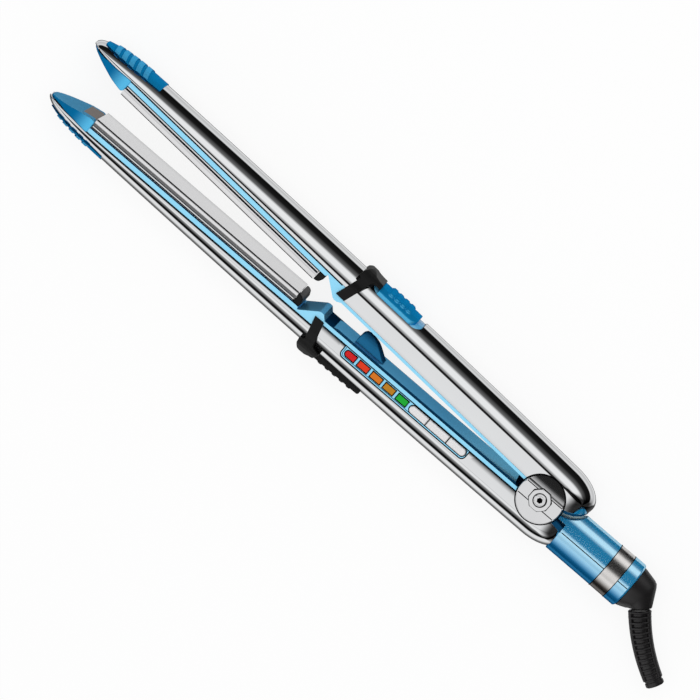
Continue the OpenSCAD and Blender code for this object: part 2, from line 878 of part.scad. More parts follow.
module hinge_screw() color("gray") {
    translate([0, 0, cap_z + cap_thick + 0.3]) difference() {
        rotate_extrude() polygon([
            [0, 0], [screw_radius, 0], [screw_radius, 1.2], [screw_radius - 0.4, 1.6], [0, 1.6]
        ]);
        translate([0, 0, 0.5]) cylinder(h = 2, r = 1.5, $fn = 6);
        translate([0, 0, 1.4]) rotate_extrude() translate([1.9, 0]) square([0.2, 1]);
    }
}

// Torsion spring round the pin, with a straight leg against each arm's floor
spring_radius = 3.25;
spring_wire = 0.45;
spring_turns = 4;
spring_pitch = 1.4;
spring_low = mid_z - 0.15;
leg_reach = 11.7;
leg_height = 3.05 - spring_wire;
// Angle at which a straight leg to that place leaves the coil
leg_angle = atan2(leg_height, leg_reach) + acos(spring_radius / norm([leg_reach, leg_height]));
spring_sweep = 360 * spring_turns - 2 * leg_angle - open_angle + 360;
spring_rise = spring_pitch * spring_sweep / 360;

// The wire's middle: a leg, the coil, a leg; then the way outwards at each of them
function spring_turn(u) = -leg_angle - open_angle - spring_sweep * u;

function spring_level(u) = spring_low + spring_wire + spring_rise * u;

spring_line = concat(
    [[leg_reach * cos(open_angle) - leg_height * sin(open_angle),
        -leg_reach * sin(open_angle) - leg_height * cos(open_angle), spring_level(0)]],
    [for (i = [0:72]) let (u = i / 72, a = spring_turn(u))
        [spring_radius * cos(a), spring_radius * sin(a), spring_level(u)]],
    [[leg_reach, leg_height, spring_level(1)]]
);
spring_out = concat(
    [spring_turn(0)], [for (i = [0:72]) spring_turn(i / 72)], [spring_turn(1)]
);
echo(spring_gap = spring_pitch - 2 * spring_wire);

module hinge_spring() color("slategray") tube(spring_line, spring_out, spring_wire, 6);

// Round tail

module tail_half(side) {
    intersection() {
        translate([ring_front, tail_offset, mid_z]) rotate([0, 90, 0]) difference() {
            cylinder(h = tail_nose - 0.1 - ring_front, r = tail_radius, $fn = 72);
            translate([0, 0, -1]) cylinder(h = 40, r = tail_bore, $fn = 72);
        }
        translate([-60, side > 0 ? tail_offset : tail_offset - 30, 0]) cube([60, 30, 2 * mid_z]);
    }
}

module tail_upper_half() color("deepskyblue") difference() {
    union() {
        tail_half(-1);
        // Floor of the scooped front, carried forward under the hinge
        intersection() {
            translate([-26, tail_offset, mid_z]) rotate([0, 90, 0])
                cylinder(h = tail_nose + 26, r = tail_radius, $fn = 72);
            translate([-26, -8, 0]) cube([tail_nose + 26, 10.3, 2 * mid_z]);
        }
    }
    translate([scoop[0], scoop[1], -1]) cylinder(h = 2 * mid_z + 2, r = scoop[2], $fn = 96);
    // Free of the control arm, which ends at the tail's front face
    translate([tail_front, 2.3, -1]) cube([10, 10, 2 * mid_z + 2]);
    translate([-28, 3, mid_z - spigot_half - 0.3]) cube([30, 10, 2 * spigot_half + 0.6]);
}

module tail_lower_half() color("deepskyblue") difference() {
    tail_half(1);
    translate([tail_front, 0, -1]) cube([20, 30, 2 * mid_z + 2]);
}

module tail_tube(from, to, outer, inner, bevel) {
    long = from - to;
    translate([from, tail_offset, mid_z]) rotate([0, -90, 0]) rotate_extrude($fn = 72) polygon([
        [inner, 0], [outer, 0], [outer, long - bevel], [outer - bevel, long], [inner, long]
    ]);
}

module tail_ring() color("silver")
    tail_tube(ring_front, end_ring_front, tail_radius + 0.1, tail_bore, 0.05);

module tail_end_ring() color("deepskyblue") difference() {
    tail_tube(end_ring_front, tail_end, tail_radius + 0.2, tail_bore, 0.7);
    // Parting groove each side
    for (side = [-1, 1])
        translate([tail_end - 1, tail_offset - 0.12, mid_z + side * (tail_radius + 0.2) - 0.25])
            cube([8, 0.24, 0.5]);
}

module swivel_socket() color("dimgray") difference() {
    tail_tube(end_ring_front + 2, tail_end + 0.4, tail_bore, 0, 0.05);
    translate([tail_end - 2, tail_offset, mid_z]) rotate([0, 90, 0]) cylinder(h = 20, r = 4.05);
    for (side = [-1, 1]) translate([end_ring_front - 2, wire_route[0][1], mid_z + wire_apart * side])
        rotate([0, 90, 0]) cylinder(h = 10, r = wire_radius + 0.3, $fn = 24);
}

module swivel_core() color("goldenrod") translate([0, tail_offset, mid_z]) rotate([0, -90, 0])
    rotate_extrude() polygon([
        [0, 44], [3, 44], [5.2, 45], [5.2, 48.3], [4, 48.3], [4, 60.5], [0, 60.5]
    ]);

// Cord boot: a cone on the swivel, an elbow, and a cone to the sleeve

module cord_boot() color("black") difference() {
    neck = norm(relief_start - elbow);
    union() {
        translate([0, tail_offset, mid_z]) rotate([0, -90, 0]) rotate_extrude($fn = 64) polygon([
            [0, 57.3], [10.5, 57.3], [10.7, 57.9], [8.9, 63.2], [7, 65.2], [0, 65.2]
        ]);
        // Elbow: a ball run out into a cone along the sleeve
        translate([elbow[0], elbow[1], mid_z]) rotate([0, 0, relief_heading]) rotate([0, 90, 0])
            rotate_extrude($fn = 64) polygon(concat(
                [for (a = [0:10:90]) [elbow_radius * sin(a), -elbow_radius * cos(a)]],
                [[elbow_radius - 0.3, 1.5], [5.6, neck], [0, neck]]
            ));
    }
    translate([-60.5, tail_offset, mid_z]) rotate([0, 90, 0]) cylinder(h = 5, r = 4);
    translate([-57.5, tail_offset - 15, 0]) cube([10, 30, 2 * mid_z]);
    // Flat face that the sleeve grows out of
    translate([relief_start[0], relief_start[1], mid_z]) rotate([0, 0, relief_heading])
        translate([0, -10, -15]) cube([20, 30, 30]);
}

// Strain relief: a ribbed sleeve, bored at its straight end

function relief_place(s) = let (bend = relief_bend * relief_turn * PI / 180)
    s < bend
        ? let (h = relief_heading + s / relief_bend * 180 / PI)
            [relief_centre[0] + relief_bend * sin(h), relief_centre[1] - relief_bend * cos(h), h]
        : [
            relief_tail[0] + (s - bend) * cos(relief_end_heading),
            relief_tail[1] + (s - bend) * sin(relief_end_heading),
            relief_end_heading
        ];

module relief_sweep() {
    translate([relief_centre[0], relief_centre[1], mid_z]) rotate([0, 0, relief_heading - 90])
        rotate_extrude(angle = relief_turn, $fn = 360) translate([relief_bend, 0]) children();
    translate([relief_tail[0], relief_tail[1], mid_z]) rotate([0, 0, relief_end_heading])
        rotate([90, 0, 90]) linear_extrude(relief_straight) mirror([1, 0]) children();
}

module strain_relief() color("black") {
    difference() {
        union() {
            relief_sweep() circle(relief_core, $fn = 32);
            for (i = [0:relief_ribs - 1]) {
                p = relief_place(2 + rib_pitch * i);
                translate([p[0], p[1], mid_z]) rotate([0, 0, p[2]]) rotate([0, 90, 0])
                    cylinder(h = rib_width, r = rib_radius - rib_taper * i, $fn = 32);
            }
            // Collar round the mouth
            p = relief_place(relief_bend * relief_turn * PI / 180 + relief_straight - 2.4);
            translate([p[0], p[1], mid_z]) rotate([0, 0, p[2]]) rotate([0, 90, 0])
                rotate_extrude($fn = 32) polygon([
                    [0, 0], [mouth_radius, 0], [mouth_radius, 1.6], [mouth_radius - 0.75, 2.4], [0, 2.4]
                ]);
        }
        // Hole for the cord, straight where the cord enters
        translate([relief_tail[0], relief_tail[1], mid_z]) rotate([0, 0, relief_end_heading])
            rotate([0, 90, 0]) cylinder(h = relief_straight + 1, r = cord_hole_radius);
    }
}

lower_shell();
lower_liner();
lower_cool_tip();
lower_tip_grip();
lower_plate_stop();
lower_collar();
alignment_fin();
control_bezel();
lamp_red();
lamp_orange_red();
lamp_orange();
lamp_amber();
lamp_green();
circuit_board();
indicator_leds();
key_switches();
mains_wires();
tail_upper_half();
tail_lower_half();
tail_ring();
tail_end_ring();
swivel_socket();
hinge_pin();
hinge_cap_front();
hinge_cap_back();
hinge_nut();
hinge_screw();
hinge_spring();
lower_plate();
lower_plate_carrier();
lower_heater();
lower_plate_springs();
upper_shell();
upper_liner();
upper_cool_tip();
upper_tip_grip();
upper_plate_stop();
upper_collar();
thumb_pad();
pad_tray();
upper_plate();
upper_plate_carrier();
upper_heater();
upper_plate_springs();
power_key();
plus_key();
minus_key();
swivel_core();
cord_boot();
strain_relief();
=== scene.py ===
import bpy
import bmesh
import json
import math
from functools import partial
from mathutils import Matrix, Vector

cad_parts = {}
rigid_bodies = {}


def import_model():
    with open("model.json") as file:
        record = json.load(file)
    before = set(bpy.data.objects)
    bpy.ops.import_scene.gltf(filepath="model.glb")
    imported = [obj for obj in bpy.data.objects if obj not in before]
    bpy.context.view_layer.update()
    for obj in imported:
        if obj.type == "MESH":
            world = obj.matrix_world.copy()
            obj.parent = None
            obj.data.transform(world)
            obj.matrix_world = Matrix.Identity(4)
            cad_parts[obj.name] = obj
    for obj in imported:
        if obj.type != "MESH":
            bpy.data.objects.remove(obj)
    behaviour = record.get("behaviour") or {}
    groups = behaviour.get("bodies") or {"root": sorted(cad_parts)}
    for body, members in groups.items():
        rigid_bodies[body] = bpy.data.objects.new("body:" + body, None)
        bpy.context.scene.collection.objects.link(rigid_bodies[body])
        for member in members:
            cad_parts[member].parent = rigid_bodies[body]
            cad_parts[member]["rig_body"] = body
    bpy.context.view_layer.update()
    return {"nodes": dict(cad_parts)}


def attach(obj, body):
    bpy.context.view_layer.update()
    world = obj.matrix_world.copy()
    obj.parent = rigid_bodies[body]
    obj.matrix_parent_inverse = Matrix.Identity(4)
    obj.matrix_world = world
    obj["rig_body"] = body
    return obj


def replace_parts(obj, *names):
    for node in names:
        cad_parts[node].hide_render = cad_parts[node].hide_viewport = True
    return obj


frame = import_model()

mm = 0.001
scene = bpy.context.scene
scene.view_settings.view_transform = "Standard"
nodes = frame["nodes"]
print("frame loaded,", len(nodes), "nodes")


# Colour, object and node helpers

def toLinear(hexColor):
    channels = [int(hexColor[i:i + 2], 16) / 255 for i in (1, 3, 5)]
    return tuple(c / 12.92 if c <= 0.04045 else ((c + 0.055) / 1.055) ** 2.4 for c in channels) + (1.0,)


def newObject(name, data):
    made = bpy.data.objects.new(name, data)
    scene.collection.objects.link(made)
    return made


def emptyTree(owner):
    owner.use_nodes = True
    owner.node_tree.nodes.clear()
    return owner.node_tree


# A setting is one of the node's options, a value for a socket or, to link it, a node's output. A node
# stands for its first output.
def addNode(tree, kind, settings=None):
    node = tree.nodes.new(kind)
    for name, value in (settings or {}).items():
        if isinstance(value, bpy.types.Node):
            value = value.outputs[0]
        if isinstance(value, bpy.types.NodeSocket):
            tree.links.new(value, node.inputs[name])
        elif isinstance(name, int) or name in node.inputs:
            node.inputs[name].default_value = value
        else:
            setattr(node, name, value)
    return node


finishes = {}


# Every finish mottles two colours with a broad noise, lets its roughness wander and has a fine bump.
# rough = (middle, spread), noise = (patch, grain, depth): the sizes of both noises and the bump's height
# in mm, and stretch lengthens the grain along the arms. fade = (axis, start, end, colour) blends another
# colour in along X or Y, in mm, or for "up" by how far a face looks up. fadeTint tints the sheen with it.
# Fades paint light and shade into the colour, and fadeTint into the sheen
def makeFinish(name, colors, rough, noise, metallic=0.0, stretch=1, gloss=0.5, tint="#ffffff", ior=1.5,
               fade=None, fadeTint=None):
    middle, spread = rough
    patch, grain, depth = noise
    material = bpy.data.materials.new(name)
    add = partial(addNode, emptyTree(material))
    place = add("ShaderNodeTexCoord")
    broad = add("ShaderNodeTexNoise", {
        "Scale": 1 / (patch * mm), "Detail": 3.0, "Vector": place.outputs["Object"]})
    # A colour mix takes its colours at sockets 6 and 7 and gives them at output 2
    mottle = add("ShaderNodeMix", {
        "data_type": "RGBA", 6: toLinear(colors[0]), 7: toLinear(colors[1]), 0: broad.outputs["Fac"]})
    paint = mottle.outputs[2]
    if fade:
        axis, start, end, fadeColor = fade
        source, axis, unit = ("Normal", "Z", 1) if axis == "up" else ("Object", axis, mm)
        split = add("ShaderNodeSeparateXYZ", {0: place.outputs[source]})
        along = add("ShaderNodeMapRange", {
            "interpolation_type": "SMOOTHSTEP", "From Min": start * unit, "From Max": end * unit,
            "Value": split.outputs[axis]})
        blended = add("ShaderNodeMix", {"data_type": "RGBA", 7: toLinear(fadeColor), 0: along, 6: paint})
        paint = blended.outputs[2]
    squeeze = add("ShaderNodeMapping", {"Scale": (1 / stretch, 1, 1), "Vector": place.outputs["Object"]})
    fine = add("ShaderNodeTexNoise", {
        "Scale": 1 / (grain * mm), "Detail": 4.0, "Roughness": 0.6, "Vector": squeeze})
    wander = add("ShaderNodeMapRange", {
        "To Min": middle - spread, "To Max": middle + spread, "Value": fine.outputs["Fac"]})
    bump = add("ShaderNodeBump", {"Strength": 1.0, "Distance": depth * mm, "Height": fine.outputs["Fac"]})
    sheen = toLinear(tint)
    if fadeTint:
        tints = add("ShaderNodeMix", {
            "data_type": "RGBA", 6: toLinear(fadeTint[0]), 7: toLinear(fadeTint[1]), 0: along})
        sheen = tints.outputs[2]
    surface = add("ShaderNodeBsdfPrincipled", {
        "Metallic": metallic, "Specular IOR Level": gloss, "Specular Tint": sheen, "IOR": ior,
        "Base Color": paint, "Roughness": wander, "Normal": bump})
    add("ShaderNodeOutputMaterial", {"Surface": surface})
    finishes[name] = material


# Deep-drawn stainless steel, mirror polished: crisp reflections with a trace of buffing haze
makeFinish("mirrorPolishedSteel", ("#f4f5f6", "#eceef0"), (0.035, 0.012), (30, 0.5, 0.0004), metallic=1.0,
           stretch=30)
# Turned steel of the hinge: as bright as the shells, a little softer
makeFinish("turnedBrightSteel", ("#f0f0f1", "#e4e5e7"), (0.06, 0.02), (10, 0.2, 0.0004), metallic=1.0)
# Satin chrome of the tail's ring: soft reflections, and a painted dark reflection towards +Y
makeFinish("satinChromePlate", ("#f7f5f3", "#e9e6e3"), (0.24, 0.04), (6, 0.2, 0.001), metallic=1.0,
           fade=("Y", 9.5, 13.5, "#5a544f"))
# Titanium-coated aluminium plate, ground along its length: a satin mirror
makeFinish("groundTitaniumPlate", ("#f2f2f3", "#e9e9eb"), (0.06, 0.02), (18, 0.12, 0.0002), metallic=0.85,
           stretch=60)
# Die-cast aluminium of the plates' carriers: a bright, even edge
makeFinish("dieCastAluminium", ("#eceded", "#e2e3e5"), (0.16, 0.02), (6, 0.3, 0), metallic=1.0)
# ABS moulded in gloss: pale lips, with painted shade that deepens their sides
makeFinish("glossMouldedPaleBlueABS", ("#98dcf8", "#84d2f4"), (0.14, 0.03), (14, 1.2, 0.002),
           fade=("up", 0.75, 0.2, "#4fa6d6"))
# ABS with a pearl pigment: the liners' inner face shimmers. Its steel blue is a darker copy of the lips' blue
# for painted shade, painted lighter near the hinge
makeFinish("shadedPearlSteelBlueABS", ("#78c0e2", "#6cb8dc"), (0.12, 0.02), (16, 1.2, 0), metallic=0.6,
           gloss=0.0, tint="#8cc8e8", fade=("X", 62, 18, "#b4efff"))
# A navy copy of the liners' blue ABS, without glare: painted deep shade in the liners' grooves and hollows
# and in the bezel's shallow line
makeFinish("paintedShadeNavyABS", ("#12486d", "#0d3a5a"), (0.25, 0.04), (10, 1.0, 0.002), gloss=0.0)
# Deep blue ABS of the fin: faintly mottled, even where it looks up
makeFinish("glossMouldedDeepBlueABS", ("#2a74a2", "#226793"), (0.3, 0.04), (6, 1.0, 0.002), gloss=0.0,
           fade=("up", 0.3, 0.95, "#2874a0"))
# Tinted heat-resistant nylon of the tips, with a painted highlight beside the plate
makeFinish("tintedBlueNylon", ("#0a72a8", "#085c8c"), (0.25, 0.03), (9, 0.9, 0.002), gloss=0.0,
           fade=("X", 273, 263, "#58b8e4"))
# The same nylon under a tip, painted paler for its reflection there, and the smoked slot in it
makeFinish("paintedReflectionNylon", ("#6fb3d6", "#5fa6cc"), (0.3, 0.03), (9, 0.9, 0.002), metallic=0.55, gloss=0.0,
           tint="#8cc8e8")
makeFinish("smokedInsert", ("#7f7169", "#6f635c"), (0.3, 0.03), (4, 0.9, 0.002), metallic=0.55, gloss=0.0)
# Moulded silicone: satin, slightly powdery, with painted light where it looks up and a painted highlight on
# its ridges
makeFinish("pearlBlueSilicone", ("#148cc6", "#127fb8"), (0.3, 0.05), (4, 0.25, 0.002), metallic=0.4,
           gloss=0.0, tint="#7cc8f0", fade=("up", 0.55, 0.98, "#54b4e0"))
makeFinish("ridgeHighlightSilicone", ("#4fb4e6", "#46a9dc"), (0.3, 0.05), (4, 0.25, 0.002), metallic=0.4,
           gloss=0.0, tint="#9ad8f6")
# Metallic lacquer under satin clear coat: the high IOR stands for its flake and gives soft bright bands
# Its colour and sheen are painted darker towards +Y: painted shade
makeFinish("satinMetallicBlueLacquer", ("#06baff", "#04b2fc"), (0.16, 0), (8, 0.08, 0), ior=9.5,
           fade=("Y", 7.8, 13.2, "#04507f"), fadeTint=("#e2ffff", "#2f6f94"))
# Glass-filled nylon: matt black with a fine spark-eroded grain
makeFinish("grainedBlackNylon", ("#0e0e0f", "#141414"), (0.46, 0.08), (4, 0.35, 0.008), gloss=0.2)
# Thermoplastic rubber of the boot and its sleeve: a soft black that catches some light
makeFinish("blackThermoplasticRubber", ("#151415", "#1d1b1c"), (0.4, 0.08), (6, 0.4, 0.008))
# Painted shadow lines: thin black pieces without glare, put in gaps, grooves and seams where shade falls
makeFinish("paintedShadowBlackABS", ("#040405", "#070708"), (0.35, 0.05), (3, 0.3, 0), gloss=0.0)
# Vacuum-metallised ABS of the keys: pale, between a metal and a plastic
makeFinish("metallisedABS", ("#f0eeef", "#ecebec"), (0.22, 0), (9, 2.0, 0), metallic=0.6)
# Inside: chalky heaters, grey springs, a green board, milky light sources, red leads, warm brass
makeFinish("sinteredAlumina", ("#e9e4d6", "#dcd5c2"), (0.6, 0.08), (3, 0.2, 0.01))
makeFinish("bluedSpringSteel", ("#8d9096", "#75787e"), (0.3, 0.06), (3, 0.15, 0.001), metallic=1.0)
makeFinish("lacquerOnGlassEpoxy", ("#0e5a2c", "#0b4a25"), (0.35, 0.05), (4, 0.3, 0.004))
makeFinish("ledEpoxy", ("#e8e8dc", "#dedece"), (0.3, 0.05), (2, 0.2, 0.002))
makeFinish("wireSilicone", ("#9a1f1c", "#861a18"), (0.5, 0.08), (3, 0.2, 0.004))
makeFinish("turnedBrass", ("#d9b765", "#c7a552"), (0.22, 0.05), (4, 0.12, 0.001), metallic=1.0)
# Tinted polycarbonate lenses over diffusers: even colour with a little gloss
lensColors = {
    "lamp_red": ("#d3161c", "#c01014"), "lamp_orange_red": ("#e03a12", "#cf2c0c"),
    "lamp_orange": ("#dc7a1c", "#c4660f"), "lamp_amber": ("#c9851a", "#9a6a10"),
    "lamp_green": ("#12ab30", "#0d9a2a"),
}
lensNames = {node: node.title().replace("Lamp", "tintedLens").replace("_", "") for node in lensColors}
for node, colors in lensColors.items():
    makeFinish(lensNames[node], colors, (0.2, 0.03), (2, 0.5, 0.001), gloss=0.2)
print("finishes made:", len(finishes))


# Studio: pale floor, soft light, camera at the photograph's angle

plainWhite = (1, 1, 1, 1)
stageSet = {"floorSize": 6.0, "floorColor": "#f6f6f6", "shadowShare": 0.14, "worldStrength": 0.62,
            "lampPower": 12.0, "lampSize": 1.2, "lampPlace": (0.1, -0.3, 1.6), "lampAim": (0.12, 0, 0)}

floorPaint = bpy.data.materials.new("paleStudioPaper")
add = partial(addNode, emptyTree(floorPaint))
floorRay = add("ShaderNodeLightPath")
litPaper = add("ShaderNodeBsdfDiffuse", {"Color": toLinear(stageSet["floorColor"])})
whitePaper = add("ShaderNodeEmission", {"Color": plainWhite, "Strength": 1.0})
whiteShare = add("ShaderNodeMath", {
    "operation": "MULTIPLY", 1: 1 - stageSet["shadowShare"], 0: floorRay.outputs["Is Camera Ray"]})
seenPaper = add("ShaderNodeMixShader", {0: whiteShare, 1: litPaper, 2: whitePaper})
add("ShaderNodeOutputMaterial", {"Surface": seenPaper})

reach = stageSet["floorSize"] / 2
floorMesh = bpy.data.meshes.new("floor")
floorMesh.from_pydata([(-reach, -reach, 0), (reach, -reach, 0), (reach, reach, 0), (-reach, reach, 0)],
                      [], [(0, 1, 2, 3)])
floorMesh.materials.append(floorPaint)
floor = newObject("floor", floorMesh)
floor.visible_glossy = False

# What bright metal sees: long white and black cards beside the arms, as (degrees from overhead towards
# +Y, brightness). They end short of the hinge end, so that what turns away there goes dark.
cardSet = {
    "stops": [
        (-180, 0.04), (-177, 0.12), (-174, 0.74), (-166, 0.74), (-159, 0.56), (-150, 0.64), (-142, 0.78),
        (-138, 0.004), (-115, 0.01), (-97, 0.15), (-88, 0.9), (-68, 0.9), (-60, 0.36), (-56, 0.3),
        (-53, 0.005), (-6, 0.02), (1, 0.8), (22, 0.82), (27, 0.6), (36, 0.6), (41, 0.82), (78, 0.88),
        (84, 0.28), (97, 0.004), (109, 0.004), (113, 0.84), (129, 0.8), (143, 0.14), (180, 0.06),
    ],
    "ends": (-0.92, -0.5), "endShare": 0.03,
}
world = bpy.data.worlds.new("studio")
scene.world = world
add = partial(addNode, emptyTree(world))
ray = add("ShaderNodeLightPath")
direction = add("ShaderNodeTexCoord")
axes = add("ShaderNodeSeparateXYZ", {0: direction.outputs["Generated"]})
around = add("ShaderNodeMath", {"operation": "ARCTAN2", 0: axes.outputs["Y"], 1: axes.outputs["Z"]})
turn = add("ShaderNodeMapRange", {"From Min": -math.pi, "From Max": math.pi, "Value": around})
cards = add("ShaderNodeValToRGB", {0: turn})
cardStops = cards.color_ramp.elements
cardStops.remove(cardStops[-1])
for angle, bright in cardSet["stops"]:
    stop = cardStops[0] if angle == -180 else cardStops.new((angle + 180) / 360)
    stop.color = (bright, bright, bright, 1)
endFade = add("ShaderNodeMapRange", {
    "interpolation_type": "SMOOTHSTEP", "From Min": cardSet["ends"][0],
    "From Max": cardSet["ends"][1], "To Min": cardSet["endShare"], "Value": axes.outputs["X"]})
lighting = add("ShaderNodeBackground", {"Color": plainWhite, "Strength": stageSet["worldStrength"]})
mirrored = add("ShaderNodeBackground", {"Color": cards, "Strength": endFade})
backdrop = add("ShaderNodeBackground", {"Color": plainWhite, "Strength": 1.0})
cast = add("ShaderNodeMixShader", {0: ray.outputs["Is Glossy Ray"], 1: lighting, 2: mirrored})
seen = add("ShaderNodeMixShader", {0: ray.outputs["Is Camera Ray"], 1: cast, 2: backdrop})
add("ShaderNodeOutputWorld", {"Surface": seen})

lamp = newObject("softLamp", bpy.data.lights.new("softLamp", "AREA"))
lamp.data.energy = stageSet["lampPower"]
lamp.data.size = stageSet["lampSize"]
lamp.location = stageSet["lampPlace"]
lampWay = Vector(stageSet["lampAim"]) - Vector(stageSet["lampPlace"])
lamp.rotation_euler = lampWay.to_track_quat("-Z", "Y").to_euler()
lamp.visible_glossy = False

# Angles in degrees, the distance in m, the scale in mm for a pixel, and the pixel of the hinge cap's middle
cameraSet = {"frame": 700, "sensor": 36, "tilt": 9.9, "roll": 40.67, "distance": 2.4, "scale": 0.45,
             "hinge": (540, 500), "hingeHeight": 36.5}
tilt, roll = math.radians(cameraSet["tilt"]), math.radians(cameraSet["roll"])
backward = Vector((0, -math.sin(tilt), math.cos(tilt)))
levelRight, levelUp = Vector((-1, 0, 0)), Vector((0, -math.cos(tilt), -math.sin(tilt)))
right = levelRight * math.cos(roll) + levelUp * math.sin(roll)
up = levelUp * math.cos(roll) - levelRight * math.sin(roll)
pixel = cameraSet["scale"] * mm
aside, below = [(place - cameraSet["frame"] / 2) * pixel for place in cameraSet["hinge"]]
centre = Vector((0, 0, cameraSet["hingeHeight"] * mm)) - right * aside + up * below
camera = newObject("camera", bpy.data.cameras.new("camera"))
camera.data.sensor_width = cameraSet["sensor"]
camera.data.lens = cameraSet["sensor"] * cameraSet["distance"] / (cameraSet["frame"] * pixel)
camera.data.clip_end = 20
turned = Matrix((right, up, backward)).transposed().to_4x4()
camera.matrix_world = Matrix.Translation(centre + backward * cameraSet["distance"]) @ turned
scene.camera = camera
print("studio set")


# Piece helpers

midHeight = 18.0  # the arms' middle above the table, in mm
openAngle = math.radians(3.3)  # between the arms at rest
armPlaces = {
    "lower": Matrix.Identity(4),
    "upper": Matrix.Rotation(-openAngle, 4, "Z") @ Matrix.Scale(-1, 4, (0, 1, 0)),
}
armBodies = {"lower": "control_arm", "upper": "free_arm"}
meshSet = {"mergeAt": 0.002, "cadMergeAt": 0.004, "flatWithin": 0.6, "edgeAngle": 28}  # mm and degrees


def dress(mesh, *finishNames):
    mesh.materials.clear()
    for name in finishNames:
        mesh.materials.append(finishes[name])


def newPiece(name, points, faces, finish):
    mesh = bpy.data.meshes.new(name)
    mesh.from_pydata([Vector(point) * mm for point in points], [], faces)
    mesh.validate()
    dress(mesh, finish)
    return newObject(name, mesh)


def shadeBy(piece, sharpAngle=30):
    for face in piece.data.polygons:
        face.use_smooth = True
    piece.data.set_sharp_from_angle(angle=math.radians(sharpAngle))
    return piece


def tidyMesh(piece, sharpAngle=30):
    work = bmesh.new()
    work.from_mesh(piece.data)
    bmesh.ops.remove_doubles(work, verts=work.verts, dist=meshSet["mergeAt"] * mm)
    bmesh.ops.recalc_face_normals(work, faces=work.faces)
    work.to_mesh(piece.data)
    work.free()
    return shadeBy(piece, sharpAngle)


# A copy of a CAD node as whole faces, ready for its edges to be softened
def copyNode(node, name, *finishNames):
    mesh = nodes[node].data.copy()
    mesh.name = name
    dress(mesh, *finishNames)
    work = bmesh.new()
    work.from_mesh(mesh)
    bmesh.ops.remove_doubles(work, verts=work.verts, dist=meshSet["cadMergeAt"] * mm)
    bmesh.ops.dissolve_limit(work, angle_limit=math.radians(meshSet["flatWithin"]),
                             verts=work.verts, edges=work.edges)
    for face in work.faces:
        face.material_index = 0
    work.to_mesh(mesh)
    work.free()
    return shadeBy(newObject(name, mesh), meshSet["edgeAngle"])


def applyModifiers(piece):
    bpy.context.view_layer.update()
    shaped = bpy.data.meshes.new_from_object(piece.evaluated_get(bpy.context.evaluated_depsgraph_get()))
    shaped.name = piece.name
    piece.modifiers.clear()
    piece.data = shaped
    return piece


def cut(piece, *cutters):
    for cutter in cutters:
        step = piece.modifiers.new("cut", "BOOLEAN")
        step.operation, step.solver, step.object = "DIFFERENCE", "EXACT", cutter
        applyModifiers(piece)
        bpy.data.objects.remove(cutter)
    return piece


def soften(piece, width, segments=2):
    step = piece.modifiers.new("edges", "BEVEL")
    step.width, step.segments, step.limit_method = width * mm, segments, "ANGLE"
    step.angle_limit = math.radians(meshSet["edgeAngle"])
    evening = piece.modifiers.new("normals", "WEIGHTED_NORMAL")
    evening.keep_sharp = True
    return applyModifiers(piece)


# Rounds a piece off all over, as moulded soft pieces are: a fine voxel skin, then smoothing
def melt(piece, voxel, rounds, *finishNames):
    skin = piece.modifiers.new("skin", "REMESH")
    skin.mode, skin.voxel_size, skin.use_smooth_shade = "VOXEL", voxel * mm, True
    even = piece.modifiers.new("even", "SMOOTH")
    even.iterations = rounds
    applyModifiers(piece)
    dress(piece.data, *finishNames)
    return shadeBy(piece, 180)


def placed(piece, matrix):
    piece.data.transform(matrix)
    if matrix.determinant() < 0:
        piece.data.flip_normals()
    return piece


# Gives each face the finish that a rule picks by its middle and direction in the arm's own frame, in mm
def paintFaces(piece, arm, rule):
    back = armPlaces[arm].inverted()
    turnBack = back.to_3x3()
    for face in piece.data.polygons:
        face.material_index = rule(back @ face.center / mm, turnBack @ face.normal)


def seat(piece, body):
    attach(piece, body)
    return piece


# For a piece that stands for a CAD node
def seatAs(piece, node):
    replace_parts(seat(piece, nodes[node]["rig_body"]), node)


# Both arms' nodes of one kind
def both(kind):
    return [f"{arm}_{kind}" for arm in armBodies]


def gridFaces(rows):
    columns = len(rows[0])
    faces = []
    for i in range(len(rows) - 1):
        for j in range(columns):
            a, b = i * columns + j, i * columns + (j + 1) % columns
            faces.append((a, b, b + columns, a + columns))
    return [point for row in rows for point in row], faces


# A skin over closed rows of points, filled at both ends where it is capped
def loft(name, rows, finish, sharpAngle=30, capped=True):
    points, faces = gridFaces(rows)
    if capped:
        count = len(rows[0])
        faces += [tuple(range(count))[::-1], tuple(range(len(points) - count, len(points)))]
    return tidyMesh(newPiece(name, points, faces, finish), sharpAngle)


# Stands an outline up between two places of the third axis
def prism(name, outline, low, high, axis="Z", finish="mirrorPolishedSteel"):
    spread = {"Z": lambda a, b, h: (a, b, h), "Y": lambda a, b, h: (a, h, b), "X": lambda a, b, h: (h, a, b)}
    count = len(outline)
    points = [spread[axis](a, b, h) for h in (low, high) for a, b in outline]
    faces = [tuple(range(count))[::-1], tuple(range(count, 2 * count))]
    faces += [(i, (i + 1) % count, count + (i + 1) % count, count + i) for i in range(count)]
    return tidyMesh(newPiece(name, points, faces, finish))


def rect(x0, x1, y0, y1):
    return [(x0, y0), (x1, y0), (x1, y1), (x0, y1)]


# An arc from one angle in degrees to another
def arcPoints(cx, cy, radius, first, last, steps):
    angles = [math.radians(first + (last - first) * k / steps) for k in range(steps + 1)]
    return [(cx + radius * math.cos(a), cy + radius * math.sin(a)) for a in angles]


def roundedRect(x0, x1, y0, y1, r):
    corners = rect(x1 - r, x0 + r, y1 - r, y0 + r)
    return [point for k, (cx, cy) in enumerate(corners)
            for point in arcPoints(cx, cy, r, 90 * k, 90 * k + 90, 8)]


def disc(radius, steps=64, start=0):
    return arcPoints(0, 0, radius, start, start + 360, steps)[:-1]


# Turns a (radius, height) profile about an axis through place
def lathe(name, profile, finish, steps, place=(0, 0, 0), axis=(0, 0, 1)):
    turned = Vector(axis).to_track_quat("Z", "Y").to_matrix()
    rows = [[Vector(place) + turned @ Vector((x, y, height)) for x, y in disc(radius, steps)]
            for radius, height in profile]
    return loft(name, rows, finish, 40, False)
